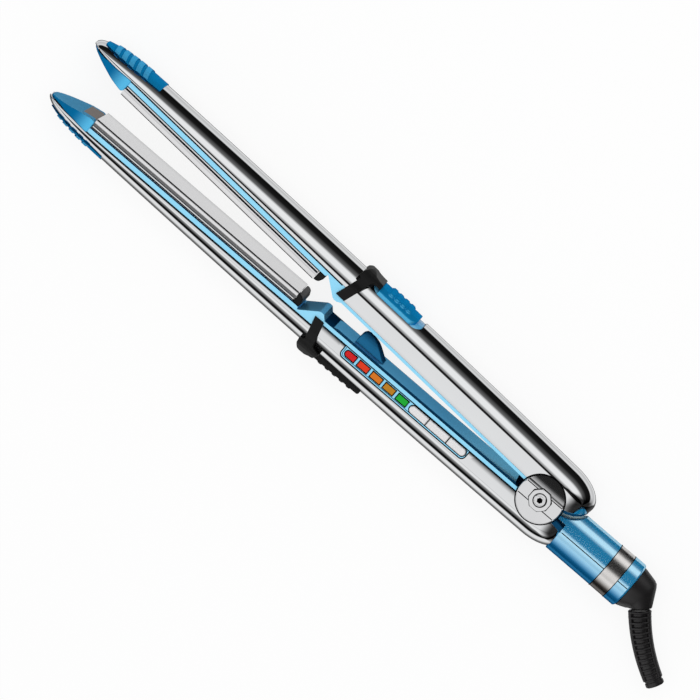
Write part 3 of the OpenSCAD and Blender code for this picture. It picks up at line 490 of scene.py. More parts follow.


# A black ring between two outlines, a painted shadow line
def shadowRing(name, outer, inner, low, high):
    rows = [[(x, y, h) for x, y in ring] for ring, h in
            ((inner, low), (outer, low), (outer, high), (inner, high), (inner, low))]
    seat(loft(name, rows, "paintedShadowBlackABS", capped=False), "control_arm")


# A black strip, a painted shadow line, or a strip of another finish
def shadowStrip(name, outline, low, high, axis="Z", finish="paintedShadowBlackABS"):
    seat(prism(name, outline, low, high, axis, finish), "control_arm")


# Geometry Nodes helpers: a tree with named sizes, and a line that it grows along

def startTree(name, sizes):
    tree = bpy.data.node_groups.new(name, "GeometryNodeTree")
    tree.interface.new_socket("Geometry", in_out="INPUT", socket_type="NodeSocketGeometry")
    for label, value in sizes.items():
        kind = "NodeSocketInt" if isinstance(value, int) else "NodeSocketFloat"
        tree.interface.new_socket(label, in_out="INPUT", socket_type=kind)
    tree.interface.new_socket("Geometry", in_out="OUTPUT", socket_type="NodeSocketGeometry")
    add = partial(addNode, tree)
    return tree, add, add("NodeGroupInput").outputs


def endTree(add, result, finish):
    real = add("GeometryNodeRealizeInstances", {0: result})
    painted = add("GeometryNodeSetMaterial", {"Material": finishes[finish], 0: real})
    add("NodeGroupOutput", {0: painted})


# Sizes are in mm, apart from whole numbers, which count, and shares
def growAlong(name, points, tree, sizes, sharpAngle=40):
    mesh = bpy.data.meshes.new(name)
    links = [(i, i + 1) for i in range(len(points) - 1)]
    mesh.from_pydata([Vector(point) * mm for point in points], links, [])
    piece = newObject(name, mesh)
    step = piece.modifiers.new("grow", "NODES")
    step.node_group = tree
    for item in tree.interface.items_tree:
        if item.in_out == "INPUT" and item.name in sizes:
            value = sizes[item.name]
            step[item.identifier] = value if isinstance(value, int) or "Share" in item.name else value * mm
    return shadeBy(applyModifiers(piece), sharpAngle)


# Arm surfaces: the same rules as the solids, drawn finely

shape = {
    "reach": 287.5, "halfWidth": 17.0, "wall": 1.0, "arc": math.radians(68),
    "rearStart": -4.0, "rearRound": 17.0, "rearHeight": 10.7,
    "noseStart": 246.0, "noseHeight": 7.3, "nosePast": 0.2, "nosePower": 2.6, "noseRoot": 2.2,
    "tipStart": 262.0, "tipPast": 0.4, "tipPower": 2.4,
    "crownRear": 19.5, "crownFall": 4.2, "crownLength": 250, "crease": 11.4, "creaseFall": 0.0105,
    "lower": 4.7, "upper": 2.9,  # the steel's edge along each handle
    "edgeStep": 126.0, "frontEdge": 8.0, "noseEdge": 7.2, "edgeFall": 0.08,
}
detail = {
    "arcSteps": 30, "handleStep": 3.5, "frontStep": 4.2, "noseSteps": 34, "noseGap": 0.06,
    "creaseRound": 0.55, "rimRound": 0.3, "fadeStart": -6.0, "fadeLength": 12.0, "fadeRound": 2.0,
    "leastHalf": 0.3, "leastSide": 0.15, "leastCrown": 0.2, "innerRound": 0.3,
}


def rearFactor(x):
    past = (shape["rearStart"] - x) / shape["rearRound"]
    return 1.0 if past <= 0 else math.sqrt(max(0, 1 - past ** 2))


def noseFactor(x):
    if x <= shape["noseStart"]:
        return 1.0
    past = (x - shape["noseStart"]) / (shape["reach"] + shape["nosePast"] - shape["noseStart"])
    return max(0, 1 - past ** shape["nosePower"]) ** (1 / shape["noseRoot"])


def halfAt(x):
    if x < shape["rearStart"]:
        return shape["halfWidth"] * rearFactor(x)
    past = max(0, x - shape["tipStart"]) / (shape["reach"] + shape["tipPast"] - shape["tipStart"])
    return shape["halfWidth"] * max(0, 1 - past ** shape["tipPower"]) ** (1 / shape["tipPower"])


def blendedHeight(x, height):
    if x < shape["rearStart"]:
        return shape["rearHeight"] + (height - shape["rearHeight"]) * rearFactor(x)
    return shape["noseHeight"] + (height - shape["noseHeight"]) * noseFactor(x)


def crownAt(x):
    return blendedHeight(x, shape["crownRear"] - shape["crownFall"] * (max(0, x) / shape["crownLength"]) ** 2)


def creaseAt(x):
    return blendedHeight(x, shape["crease"] - shape["creaseFall"] * max(0, x))


def lowAt(x, arm):
    if x < shape["rearStart"]:
        return shape["rearHeight"] - (shape["rearHeight"] - shape[arm]) * rearFactor(x)
    if x < shape["edgeStep"]:
        return shape[arm]
    if x < shape["tipStart"]:
        return shape["frontEdge"]
    return max(shape["noseEdge"], shape["frontEdge"] - (x - shape["tipStart"]) * shape["edgeFall"])


# Height of the crown over a place beside the middle
def crownOver(x, aside):
    arc = shape["arc"]
    turned = math.asin(min(1.0, aside / max(0.5, halfAt(x))) * math.sin(arc))
    crease, crown = creaseAt(x), crownAt(x)
    return crease + (crown - crease) * (math.cos(turned) - math.cos(arc)) / (1 - math.cos(arc))


# A row of points round the steel at x: its outer face for grow 0, its inner one for minus the wall
def shellRow(x, arm, grow, place):
    arc, steps = shape["arc"], detail["arcSteps"]
    half = max(detail["leastHalf"], halfAt(x) + grow)
    low = lowAt(x, arm)
    crease = max(creaseAt(x) + grow * 0.5, low + detail["leastSide"])
    crown = max(crownAt(x) + grow, crease + detail["leastCrown"])
    flat = 1 - math.cos(arc)
    rim = min(detail["rimRound"], 0.4 * (crease - low), 0.3 * half) if grow >= 0 else 0.0
    side = [(low + rim * (1 - math.sin(t)), half - rim * (1 - math.cos(t)))
            for t in (math.pi / 2, math.pi / 3, math.pi / 6, 0)]
    bow = [(crease + (crown - crease) * (math.cos(a) - math.cos(arc)) / flat,
            half * math.sin(a) / math.sin(arc)) for a in (arc * (1 - k / steps) for k in range(steps + 1))]
    # The crease is rounded from a point on the flat side to one on the bow, and melts away behind the hinge
    away = min(1, max(0, (detail["fadeStart"] - x) / detail["fadeLength"]))
    size = (detail["creaseRound"] + detail["fadeRound"] * away) * min(1.0, (crease - low) / 2)
    if grow < 0:
        size *= detail["innerRound"]
    take = 1
    while math.dist(bow[0], bow[take]) < size and take < steps * 2 // 3:
        take += 1
    before = (crease - min(size, 0.8 * (crease - side[-1][0])), half)
    fillet = [tuple((1 - t) ** 2 * before[i] + 2 * t * (1 - t) * bow[0][i] + t * t * bow[take][i]
                    for i in (0, 1)) for t in (0, 0.15, 0.3, 0.45, 0.6, 0.75, 0.9)]
    # Every row keeps the same count of points
    near = side + fillet + [bow[take]] * take + bow[take + 1:]
    far = [(y, -w) for y, w in reversed(near[:-1])]
    return [(place, y, midHeight + w) for y, w in near + far]


def makeShell(arm):
    rear = [shape["rearStart"] - shape["rearRound"] * math.cos(math.radians(a)) for a in
            (4, 8, 12, 16, 20, 24, 28, 32, 36, 41, 46, 51, 57, 63, 70, 77, 84)]
    handle = [shape["rearStart"] + detail["handleStep"] * i for i in range(38)]
    step = [shape["edgeStep"] - 0.1, shape["edgeStep"] + 0.1]
    front = [shape["edgeStep"] + detail["handleStep"] + detail["frontStep"] * i for i in range(28)]
    noseLength, noseSteps = shape["reach"] - detail["noseGap"] - shape["noseStart"], detail["noseSteps"]
    nose = [shape["noseStart"] + noseLength * math.sin(math.radians(90 * k / noseSteps))
            for k in range(noseSteps + 1)]
    rearEnd = shape["rearRound"] - shape["rearStart"]
    span, middle = (shape["reach"] + rearEnd) / 2, (shape["reach"] - rearEnd) / 2
    rows = []
    for x in rear + handle + step + front + nose:
        outer = shellRow(x, arm, 0, x)
        inner = shellRow(x, arm, -shape["wall"], middle + (x - middle) * (span - shape["wall"]) / span)
        rows.append(outer + inner[::-1])
    points, faces = gridFaces(rows)
    # Strips close the wall at both ends
    count = len(rows[0])
    for base, order in ((0, 1), ((len(rows) - 1) * count, -1)):
        for j in range(count // 2 - 1):
            faces.append((base + j, base + j + 1, base + count - 2 - j, base + count - 1 - j)[::-order])
    return tidyMesh(newPiece(f"{arm}_shell_steel", points, faces, "mirrorPolishedSteel"), 40)


shellCuts = {"hingeHole": 6.5, "rearEnd": -16.6, "panelNotch": (37.8, 111.8, 1.0, 10.1, 2.5),
             "padWindow": (91.4, 121.1, midHeight - 12.6, midHeight + 12.6, 5.1)}

for arm in armBodies:
    shell = cut(makeShell(arm), prism("hingeHole", disc(shellCuts["hingeHole"]), -1, 40))
    if arm == "lower":
        cut(shell, prism("rearCut", rect(-40, shellCuts["rearEnd"], -2, 30), -1, 40),
            prism("panelNotch", roundedRect(*shellCuts["panelNotch"]), 32, 40))
    else:
        cut(shell, prism("padWindow", roundedRect(*shellCuts["padWindow"]), 13.5, 24, "Y"))
    shadeBy(placed(shell, armPlaces[arm]), 38)
    seatAs(shell, f"{arm}_shell")
    print(arm, "shell made,", len(shell.data.polygons), "faces")


# Liners: pale lip, navy groove in painted deep shade, and steel-blue inner face and ramp in painted shade,
# told apart by place in the arm's own frame

linerSet = {"soften": 0.4, "rearEnd": -8, "rearHalf": 16.9, "lip": 15.6, "lipFlat": 0.3, "rampStart": 125,
            "rampEnd": 139.4, "faceDepth": 2.3, "faceHalf": 13.4, "grooveHalf": 14.95}
linerFinishes = ["glossMouldedPaleBlueABS", "shadedPearlSteelBlueABS", "paintedShadeNavyABS"]
pale, shadedFace, deepShade = range(3)


def linerTone(point, normal):
    side = abs(point.z - midHeight)
    if point.x < linerSet["rearEnd"] and side < linerSet["rearHalf"]:
        return deepShade
    if side > linerSet["lip"] and abs(normal.z) > linerSet["lipFlat"]:
        return pale
    if point.x > linerSet["rampStart"]:
        return shadedFace if point.x < linerSet["rampEnd"] else deepShade
    if point.y < linerSet["faceDepth"] and side < linerSet["faceHalf"]:
        return shadedFace
    return deepShade if side < linerSet["grooveHalf"] else pale


for arm in armBodies:
    liner = soften(copyNode(f"{arm}_liner", f"{arm}_liner_moulding", *linerFinishes), linerSet["soften"])
    paintFaces(liner, arm, linerTone)
    seatAs(liner, f"{arm}_liner")
print("liners made")


# Moulded pieces that keep their outline but lose their corners: nodes, finish, voxel, smoothing rounds

meltPlan = [
    (both("cool_tip"), "tintedBlueNylon", 0.35, 8),
    (both("plate_stop"), "grainedBlackNylon", 0.25, 8),
    (both("collar"), "grainedBlackNylon", 0.25, 5),
    (["thumb_pad"], "pearlBlueSilicone", 0.18, 2),
    (["alignment_fin"], "glossMouldedDeepBlueABS", 0.25, 8),
]
# The flat underside of a tip, painted paler for its reflection, by how squarely a face looks at the other
# arm, and the smoked slot in it
tipSet = {"under": -0.75, "slotStart": 262.0, "slotEnd": 270.4, "slotLow": 3.5, "slotHigh": 28.8}


def tipTone(point, normal):
    if normal.y > tipSet["under"]:
        return 0
    inSlot = (tipSet["slotStart"] < point.x < tipSet["slotEnd"]
              and tipSet["slotLow"] < point.z < tipSet["slotHigh"])
    return 2 if inSlot else 1


for group, finish, voxel, rounds in meltPlan:
    for node in group:
        piece = melt(copyNode(node, f"{node}_moulding", finish), voxel, rounds, finish)
        if "cool_tip" in node:
            dress(piece.data, finish, "paintedReflectionNylon", "smokedInsert")
            paintFaces(piece, node.split("_")[0], tipTone)
        seatAs(piece, node)
print("soft mouldings made")


# Crisp pieces, the CAD shape with fine bevels: nodes, finish, bevel

bevelPlan = [
    (both("tip_grip"), "pearlBlueSilicone", 0.2), (["pad_tray"], "glossMouldedPaleBlueABS", 0.25),
    (both("plate_carrier"), "dieCastAluminium", 0.06),
    (["tail_upper_half", "tail_lower_half"], "satinMetallicBlueLacquer", 0.22),
    (["tail_ring"], "satinChromePlate", 0.2), (["tail_end_ring"], "satinMetallicBlueLacquer", 0.22),
    (["hinge_nut"], "turnedBrightSteel", 0.16), (["hinge_cap_back"], "turnedBrightSteel", 0.1),
    (["power_key", "plus_key", "minus_key"], "metallisedABS", 0.5),
]
bevelPlan += [([node], finish, 0.12) for node, finish in lensNames.items()]
ridgeRise = 0.68  # what stands higher than this over a tip's crown is ridge, in mm


# Ridge faces get the painted highlight
def gripTone(point, normal):
    return 1 if point.y - crownOver(point.x, abs(point.z - midHeight)) > ridgeRise else 0


for group, finish, width in bevelPlan:
    for node in group:
        piece = soften(copyNode(node, f"{node}_finished", finish), width, 3)
        if "grip" in node:
            dress(piece.data, finish, "ridgeHighlightSilicone")
            paintFaces(piece, node.split("_")[0], gripTone)
        seatAs(piece, node)
print("crisp pieces made")


# Heated plates: a channel with rounded long edges, whose sides are drawn out a little at the back

plateSet = {"start": 142.94, "end": 262.84, "face": 0.15, "back": 3.5, "backRound": 0.12, "half": 15.84,
            "corner": 0.32, "shoulder": 0.75, "shoulderTilt": 36, "flare": 0.3, "flareStart": 1.65,
            "flareEnd": 0.14, "skinBack": 1.45, "innerHalf": 14.76}


# Half of the section: a tight corner, a gentle shoulder, a flat, then the flare and the skin's back
def plateOutline():
    face, back, corner, shoulder = (plateSet[size] for size in ("face", "back", "corner", "shoulder"))
    flare, flareStart, inner = (plateSet[size] for size in ("flare", "flareStart", "innerHalf"))
    tilt = math.radians(plateSet["shoulderTilt"])
    fall = shoulder * math.tan(tilt) / 2
    side = arcPoints(face + corner, plateSet["half"] - fall - corner * math.cos(tilt), corner,
                     180, 90 + plateSet["shoulderTilt"], 6)
    y, w = side[-1]
    side += [(y + shoulder * u, w + fall * (2 * u - u * u)) for u in (k / 7 for k in range(1, 8))]
    top = side[-1][1]
    side += [(flareStart + (back - plateSet["backRound"] - flareStart) * u, top + flare * u * u)
             for u in (k / 8 for k in range(9))]
    side += [(back, top + flare - plateSet["flareEnd"]), (back, inner), (plateSet["skinBack"], inner)]
    return [(y, midHeight + w) for y, w in side] + [(y, midHeight - w) for y, w in reversed(side)]


for arm in armBodies:
    plate = prism(f"{arm}_plate_channel", plateOutline(), plateSet["start"], plateSet["end"], "X",
                  "groundTitaniumPlate")
    shadeBy(placed(plate, armPlaces[arm]))
    seatAs(plate, f"{arm}_plate")
print("plates made")


# Control panel: a bezel with a raised rim round a shallow line, and black painted shadow lines round the
# panel, its lamps and its keys

panelSet = {
    "rear": 37.9, "front": 111.7, "low": 4.45, "high": 10.0, "corner": 2.4, "top": 34.8, "thick": 1.5,
    "chamfer": 0.1, "shadowBand": 0.4, "fit": 0.01, "rim": 0.86, "line": 0.28, "lineDepth": 0.3,
    "lineSlope": 0.04,
    "lampRow": 6.8, "lampHeight": 3.6, "lampLength": 6.4, "firstLamp": 106.9, "lampPitch": 7.65,
    "keyRear": 38.9, "keyFront": 71.5, "keyWell": 0.25, "keyShadowOut": 0.5, "keyShadowIn": 0.06,
    "window": 0.05, "lampShadow": 0.42, "lampShadowTop": 35.12,
}


# Outline of the panel, drawn in from its far side and its ends only
def panelOutline(inset):
    x0, x1 = panelSet["rear"] + inset, panelSet["front"] - inset
    r, low = max(0.4, panelSet["corner"] - inset), panelSet["low"]
    y = panelSet["high"] - inset - r
    front, rear = arcPoints(x1 - r, y, r, 0, 90, 10), arcPoints(x0 + r, y, r, 90, 180, 10)
    return [(x1, low)] + front + rear + [(x0, low)]


# Lamp and key windows: squared ends, or half-round ones
def slotOutline(x0, x1, inset, roundRear, roundFront):
    r, y = panelSet["lampHeight"] / 2 - inset, panelSet["lampRow"]
    a, b = x0 + inset, x1 - inset
    front = arcPoints(b - r, y, r, -90, 90, 18) if roundFront else [(b, y - r), (b, y + r)]
    rear = arcPoints(a + r, y, r, 90, 270, 18) if roundRear else [(a, y + r), (a, y - r)]
    return front + rear


# Only the first lamp's front end is round
def lampOutline(i, inset):
    middle, half = panelSet["firstLamp"] - panelSet["lampPitch"] * i, panelSet["lampLength"] / 2
    return slotOutline(middle - half, middle + half, inset, False, i == 0)


def keysOutline(inset):
    return slotOutline(panelSet["keyRear"], panelSet["keyFront"], inset, True, True)


top, rim, line, fit = (panelSet[size] for size in ("top", "rim", "line", "fit"))
shadowBand, chamfer, slope = (panelSet[size] for size in ("shadowBand", "chamfer", "lineSlope"))
lineFloor = top - panelSet["lineDepth"]
bezelRows = [(shadowBand, top - panelSet["thick"]), (shadowBand, top - chamfer), (shadowBand + chamfer, top), (rim, top),
             (rim + slope, lineFloor), (rim + line, lineFloor), (rim + line + slope, top)]
bezel = loft("control_bezel_moulding", [[(x, y, height) for x, y in panelOutline(inset)]
                                        for inset, height in bezelRows], "glossMouldedPaleBlueABS")
cut(bezel, prism("keyWell", keysOutline(-panelSet["keyWell"]), 30, 40),
    *[prism("lampWindow", lampOutline(i, -panelSet["window"]), 30, 40) for i in range(5)])
shadeBy(bezel, 25)
seatAs(bezel, "control_bezel")

shadowStrip("panel_shadow_line", panelOutline(0) + panelOutline(shadowBand - fit)[::-1], top - 1.4, top + 0.03)
# The bezel's shallow line gets the navy painted deep shade
shadowStrip("panel_line", panelOutline(rim + fit) + panelOutline(rim + line - fit)[::-1], top - 0.4, top - 0.02,
          finish="paintedShadeNavyABS")
for i in range(5):
    shadowRing(f"lamp_seal_{i}", lampOutline(i, -panelSet["window"]), lampOutline(i, panelSet["lampShadow"]),
             top - 0.4, panelSet["lampShadowTop"])
shadowRing("key_shadow_line", keysOutline(-panelSet["keyShadowOut"]), keysOutline(-panelSet["keyShadowIn"]),
         top - 1.2, top + 0.06)
print("control panel made")


# Hinge cap: a disc with two grooves, whose side towards the free arm is cut away at a slant

capSet = {"radius": 11.2, "base": 35.25, "top": 36.65, "rim": 0.75, "baseEdge": (0.2, 0.15),
          "groove": 3.4, "grooveHalf": 0.225, "grooveDepth": 0.3, "lineHalf": 0.19, "lineDeep": 0.25,
          "lineSunk": 0.02, "lineReach": 10.1, "slantSteps": 12, "slantFirst": 4.4, "slantLast": 13.0}

radius, base, top, rim = (capSet[size] for size in ("radius", "base", "top", "rim"))
capProfile = [(0, base), (radius - capSet["baseEdge"][0], base), (radius, base + capSet["baseEdge"][1])]
capProfile += arcPoints(radius - rim, top - rim, rim, 0, 90, 9) + [(0, top)]
cap = lathe("hinge_cap_turned", capProfile, "turnedBrightSteel", 128)

# The slant steepens in steps from the groove outwards
slantStart, steps = -(capSet["groove"] + capSet["grooveHalf"]), capSet["slantSteps"]
slantStep = (radius + 1 + slantStart) / steps
slantLine = [(slantStart, top)]
for k in range(steps):
    tilt = math.radians(capSet["slantFirst"] + (capSet["slantLast"] - capSet["slantFirst"]) * k / (steps - 1))
    y, z = slantLine[-1]
    slantLine.append((y - slantStep, z - slantStep * math.tan(tilt)))
slantLine += [(slantLine[-1][0], top + 1), (slantStart, top + 1)]
grooves = (-capSet["groove"], capSet["groove"])
half, low = capSet["grooveHalf"], top - capSet["grooveDepth"]
cut(cap, prism("slant", slantLine, -12, 12, "X"),
    *[prism("groove", rect(y - half, y + half, low, top + 1), -12, 12, "X") for y in grooves])
shadeBy(cap)
seatAs(cap, "hinge_cap_front")

# The screw's head has a shallow ring round its socket
screwSet = {
    "profile": [(0, 36.95), (2.9, 36.95), (2.9, 38.2), (2.78, 38.4), (2.6, 38.52), (2.3, 38.52),
                (2.25, 38.25), (2.0, 38.25), (1.95, 38.52), (0, 38.52)],
    "socket": 1.45, "socketFloor": 37.5,
}
screw = lathe("hinge_screw_turned", screwSet["profile"], "turnedBrightSteel", 72)
cut(screw, prism("hexSocket", disc(screwSet["socket"], 6), screwSet["socketFloor"], 40))
shadeBy(screw)
seatAs(screw, "hinge_screw")


# Painted shadow lines: black rings round the cap, the nut and the screw, black strips in the cap's grooves,
# and painted shade in the socket

def octagon(inradius):
    return disc(inradius / math.cos(math.pi / 8), 8, 22.5)


shadowRing("cap_shadow_ring", disc(11.75, 128), disc(11.22, 128), 35.02, 35.5)
half, reach = capSet["lineHalf"], capSet["lineReach"]
for i, y in enumerate(grooves):
    outline = rect(y - half, y + half, top - capSet["lineDeep"], top - capSet["lineSunk"])
    shadowStrip(f"cap_line_{i}", outline, -reach, reach, "X")
shadowRing("nut_shadow_ring", octagon(5.25), octagon(4.9), 36.2, 36.74)
shadowRing("screw_shadow_ring", disc(3.35, 72), disc(2.92, 72), 36.97, 38.0)
shadowStrip("socket_shade", disc(1.4, 24), 37.46, 37.56)
print("hinge made")


# Strain relief: a core, ribs that shrink towards the cord, a spine each side, all grown along its path

reliefSet = {"start": (-67.0, 10.7), "heading": 129.5, "turn": 21.0, "bend": 84.0, "firstRib": 1.9,
             "lastRib": 33.4, "coreEnd": 31.4}
firstHeading = math.radians(reliefSet["heading"])
lastHeading = math.radians(reliefSet["heading"] + reliefSet["turn"])


# An arc, then straight on, by the length along it
def reliefPlace(length):
    bend = reliefSet["bend"]
    cx = reliefSet["start"][0] - bend * math.sin(firstHeading)
    cy = reliefSet["start"][1] + bend * math.cos(firstHeading)
    h = min(firstHeading + length / bend, lastHeading)
    past = max(0.0, length - bend * math.radians(reliefSet["turn"]))
    x, y = cx + bend * math.sin(h), cy - bend * math.cos(h)
    return (x + past * math.cos(h), y + past * math.sin(h), midHeight)


sleeveSizes = {
    "Core Radius": 3.95, "Core Share": 0.95, "Rib Radius": 5.4, "Rib Width": 1.3, "Rib Pitch": 2.35,
    "Taper Share": 0.17, "Spine Radius": 1.25, "Spine Height Share": 2.5, "Spine Offset": 4.05,
}
tree, add, given = startTree("ribbedSleeve", sleeveSizes)
path = add("GeometryNodeMeshToCurve", {0: given["Geometry"]})
way = add("GeometryNodeSplineParameter")
taper = add("ShaderNodeMath", {"operation": "MULTIPLY", 0: way.outputs["Factor"], 1: given["Taper Share"]})
shrink = add("ShaderNodeMath", {"operation": "SUBTRACT", 0: 1.0, 1: taper})
path = add("GeometryNodeSetCurveRadius", {0: path, "Radius": shrink})
size = add("GeometryNodeInputRadius")
shortened = add("GeometryNodeTrimCurve", {0: path, "End": given["Core Share"]})
coreRound = add("GeometryNodeCurvePrimitiveCircle", {"Resolution": 40, "Radius": given["Core Radius"]})
core = add("GeometryNodeCurveToMesh", {"Fill Caps": True, 0: shortened, 1: coreRound})
marks = add("GeometryNodeCurveToPoints", {"mode": "LENGTH", 0: path, "Length": given["Rib Pitch"]})
ribHalf = add("ShaderNodeMath", {"operation": "DIVIDE", 1: 2.0, 0: given["Rib Width"]})
inward = add("ShaderNodeMath", {"operation": "SUBTRACT", 0: given["Rib Radius"], 1: ribHalf})
ribRound = add("GeometryNodeCurvePrimitiveCircle", {"Resolution": 48, "Radius": inward})
ribSection = add("GeometryNodeCurvePrimitiveCircle", {"Resolution": 10, "Radius": ribHalf})
rib = add("GeometryNodeCurveToMesh", {0: ribRound, 1: ribSection})
ribs = add("GeometryNodeInstanceOnPoints", {
    "Points": marks.outputs["Points"], "Instance": rib, "Rotation": marks.outputs["Rotation"],
    "Scale": size})
joined = add("GeometryNodeJoinGeometry")
tree.links.new(core.outputs[0], joined.inputs[0])
tree.links.new(ribs.outputs[0], joined.inputs[0])
heading = add("GeometryNodeInputTangent")
for side in (-1.0, 1.0):
    across = add("ShaderNodeVectorMath", {"operation": "CROSS_PRODUCT", 1: (0, 0, side), 0: heading})
    offset = add("ShaderNodeMath", {"operation": "MULTIPLY", 0: given["Spine Offset"], 1: size})
    shift = add("ShaderNodeVectorMath", {"operation": "SCALE", 0: across, "Scale": offset})
    shifted = add("GeometryNodeSetPosition", {0: path, "Offset": shift})
    spineRound = add("GeometryNodeCurvePrimitiveCircle", {
        "Resolution": 28, "Radius": given["Spine Radius"]})
    tall = add("ShaderNodeCombineXYZ", {0: 1.0, 2: 1.0, 1: given["Spine Height Share"]})
    spineSection = add("GeometryNodeTransform", {0: spineRound, "Scale": tall})
    spine = add("GeometryNodeCurveToMesh", {"Fill Caps": True, 0: shifted, 1: spineSection})
    tree.links.new(spine.outputs[0], joined.inputs[0])
endTree(add, joined, "blackThermoplasticRubber")
ribbedLength = reliefSet["lastRib"] - reliefSet["firstRib"]
sleeveLine = [reliefPlace(reliefSet["firstRib"] + ribbedLength * k / 60) for k in range(61)]
sleeve = growAlong("strain_relief_ribs", sleeveLine, tree, sleeveSizes, 50)
seatAs(sleeve, "strain_relief")

# Its bored end, open for the cord
mouthProfile = [(3.1, 0), (3.9, 0), (4.0, 0.2), (3.95, 3.2), (4.3, 3.5), (4.35, 4.9), (4.1, 5.3), (3.6, 5.6),
                (3.2, 5.6), (3.1, 5.4), (3.1, 0)]
mouth = lathe("strain_relief_mouth", mouthProfile, "blackThermoplasticRubber", 64,
              reliefPlace(reliefSet["coreEnd"]), (math.cos(lastHeading), math.sin(lastHeading), 0))
seatAs(mouth, "strain_relief")
print("strain relief grown")


# Cord boot: oval sections from the tail to its elbow, each with its left and right end and half height

bootSteps = 72
bootSections = [
    ((-57.32, 16.5), (-57.32, -4.3), 10.4), ((-57.55, 16.75), (-57.5, -4.6), 10.65),
    ((-58.4, 16.5), (-58.6, -4.45), 10.5), ((-60.3, 15.75), (-61.6, -3.75), 9.7),
    ((-61.5, 15.25), (-64.4, -3.1), 9.0), ((-62.0, 15.0), (-65.9, -2.4), 8.5),
    ((-62.25, 14.8), (-67.0, -0.9), 8.0), ((-62.45, 14.6), (-68.6, 2.1), 7.3),
    ((-62.6, 14.45), (-70.0, 4.7), 6.6), ((-62.75, 14.3), (-71.2, 7.0), 5.9),
    ((-62.95, 14.1), (-71.25, 7.35), 5.3),
]
bootRows = [[((lx + rx) / 2 + (lx - rx) / 2 * u, (ly + ry) / 2 + (ly - ry) / 2 * u, midHeight + tall * v)
             for u, v in disc(1, bootSteps)] for (lx, ly), (rx, ry), tall in bootSections]
boot = loft("cord_boot_moulding", bootRows, "blackThermoplasticRubber", 40)
seatAs(boot, "cord_boot")
print("cord boot made")


# Torsion spring, painted shadow lines along seams, and mains leads: round wire grown along their lines

def roundWire(name, sizes, finish):
    tree, add, given = startTree(name, sizes)
    line = add("GeometryNodeMeshToCurve", {0: given["Geometry"]})
    section = add("GeometryNodeCurvePrimitiveCircle", {
        "Radius": given["Wire Radius"], "Resolution": given["Sides"]})
    wire = add("GeometryNodeCurveToMesh", {"Fill Caps": True, 0: line, 1: section})
    endTree(add, wire, finish)
    return tree


# One leg bears on each arm, and the coil climbs from the free arm's leg to the control arm's
springSet = {"radius": 3.25, "wire": 0.45, "turns": 4, "pitch": 1.4, "low": 17.85, "legReach": 11.7,
             "legHeight": 2.6, "steps": 180}
radius, legReach, legHeight = (springSet[size] for size in ("radius", "legReach", "legHeight"))
legAngle = math.atan2(legHeight, legReach) + math.acos(radius / math.hypot(legReach, legHeight))
sweep = 2 * math.pi * (springSet["turns"] + 1) - 2 * legAngle - openAngle
start = springSet["low"] + springSet["wire"]
springLine = [(legReach * math.cos(openAngle) - legHeight * math.sin(openAngle),
               -legReach * math.sin(openAngle) - legHeight * math.cos(openAngle), start)]
for k in range(springSet["steps"] + 1):
    turned = sweep * k / springSet["steps"]
    angle = -legAngle - openAngle - turned
    springLine.append((radius * math.cos(angle), radius * math.sin(angle),
                       start + springSet["pitch"] * turned / (2 * math.pi)))
springLine.append((legReach, legHeight, springLine[-1][2]))
springSizes = {"Wire Radius": springSet["wire"], "Sides": 12}
springTree = roundWire("springWire", springSizes, "bluedSpringSteel")
coil = growAlong("hinge_spring_wire", springLine, springTree, springSizes)
seatAs(coil, "hinge_spring")

# Painted shadow lines: thin black beads along the steel's edges, beside the plates and along the
# tail. One beside a plate is (height, place aside, radius) and one along the tail (start, end, place aside).
beadSet = {
    "steel": 0.26, "steelIn": 0.12, "steelEnd": 284.0, "steelStart": {"lower": -2.0, "upper": 131.0},
    "plateEnds": (143.3, 262.5),
    "plate": {"pocket": (4.8, 14.62, 0.26), "plate": (3.62, 15.6, 0.26), "edge": (0.47, 15.47, 0.3)},
    "tail": 0.22, "tailMiddle": 6.1, "tailRuns": {"": (-17.5, -42.5, 11.6), "_end": (-50.8, -56.5, 11.72)},
    "hoops": {"front": -42.6, "back": -50.7}, "hoopSection": (11.4, 11.86, -0.17, 0.17),
}
beadSides = {"table": -1, "lamp": 1}
beadTree = roundWire("shadowBead", {"Wire Radius": 0.2, "Sides": 10}, "paintedShadowBlackABS")


def bead(name, points, radius, body, place=armPlaces["lower"]):
    piece = growAlong(name, points, beadTree, {"Wire Radius": radius, "Sides": 10})
    return seat(placed(piece, place), body)


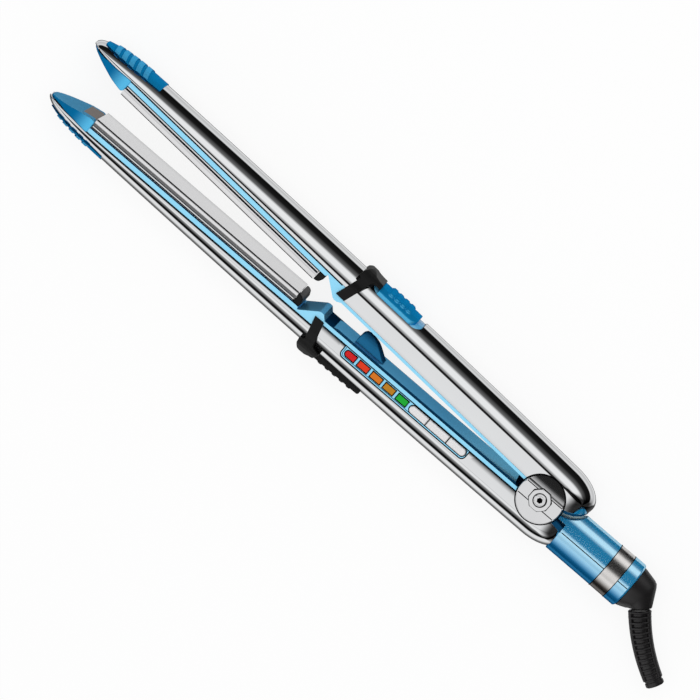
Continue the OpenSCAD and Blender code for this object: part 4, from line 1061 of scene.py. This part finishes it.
for arm, rear in beadSet["steelStart"].items():
    stations = [rear + (beadSet["steelEnd"] - rear) * k / 150 for k in range(151)]
    for name, side in beadSides.items():
        points = [(x, lowAt(x, arm) - beadSet["steel"], midHeight + side * (halfAt(x) - beadSet["steelIn"]))
                  for x in stations]
        bead(f"{arm}_edge_bead_{name}", points, beadSet["steel"], armBodies[arm], armPlaces[arm])
for arm in armBodies:
    for name, side in beadSides.items():
        for kind, (y, w, radius) in beadSet["plate"].items():
            points = [(x, y, midHeight + side * w) for x in beadSet["plateEnds"]]
            bead(f"{arm}_{kind}_bead_{name}", points, radius, f"{arm}_plate_unit", armPlaces[arm])
for run, (start, end, w) in beadSet["tailRuns"].items():
    for name, side in (("top", 1), ("bottom", -1)):
        points = [(x, beadSet["tailMiddle"], midHeight + side * w) for x in (start, end)]
        bead(f"tail_seam_{name}{run}", points, beadSet["tail"], "control_arm")
for name, x in beadSet["hoops"].items():
    section = rect(*beadSet["hoopSection"])
    hoop = lathe(f"tail_line_{name}", section + section[:1], "paintedShadowBlackABS", 128,
                 (x, beadSet["tailMiddle"], midHeight), (-1, 0, 0))
    seat(hoop, "control_arm")

leadSet = {"route": [(-50.5, 13), (-22, 12.6), (16, 13), (32, 12), (36.5, 8.4)], "apart": 4.4, "radius": 1.0}
leadSizes = {"Wire Radius": leadSet["radius"], "Sides": 14}
leadTree = roundWire("leadTube", leadSizes, "wireSilicone")
for name, side in (("low", -0.5), ("high", 0.5)):
    points = [(x, y, midHeight + leadSet["apart"] * side) for x, y in leadSet["route"]]
    lead = growAlong(f"mains_lead_{name}", points, leadTree, leadSizes)
    seatAs(lead, "mains_wires")
print("spring, seams and leads grown")


# Hidden or plain nodes keep their shape and get their finish

nodeFinishes = {
    "lacquerOnGlassEpoxy": ["circuit_board"], "ledEpoxy": ["indicator_leds"],
    "grainedBlackNylon": ["key_switches", "swivel_socket"], "turnedBrightSteel": ["hinge_pin"],
    "turnedBrass": ["swivel_core"], "bluedSpringSteel": both("plate_springs"),
    "sinteredAlumina": both("heater"),
}
for finish, group in nodeFinishes.items():
    for node in group:
        for slot in nodes[node].material_slots:
            slot.material = finishes[finish]
print("node finishes set")
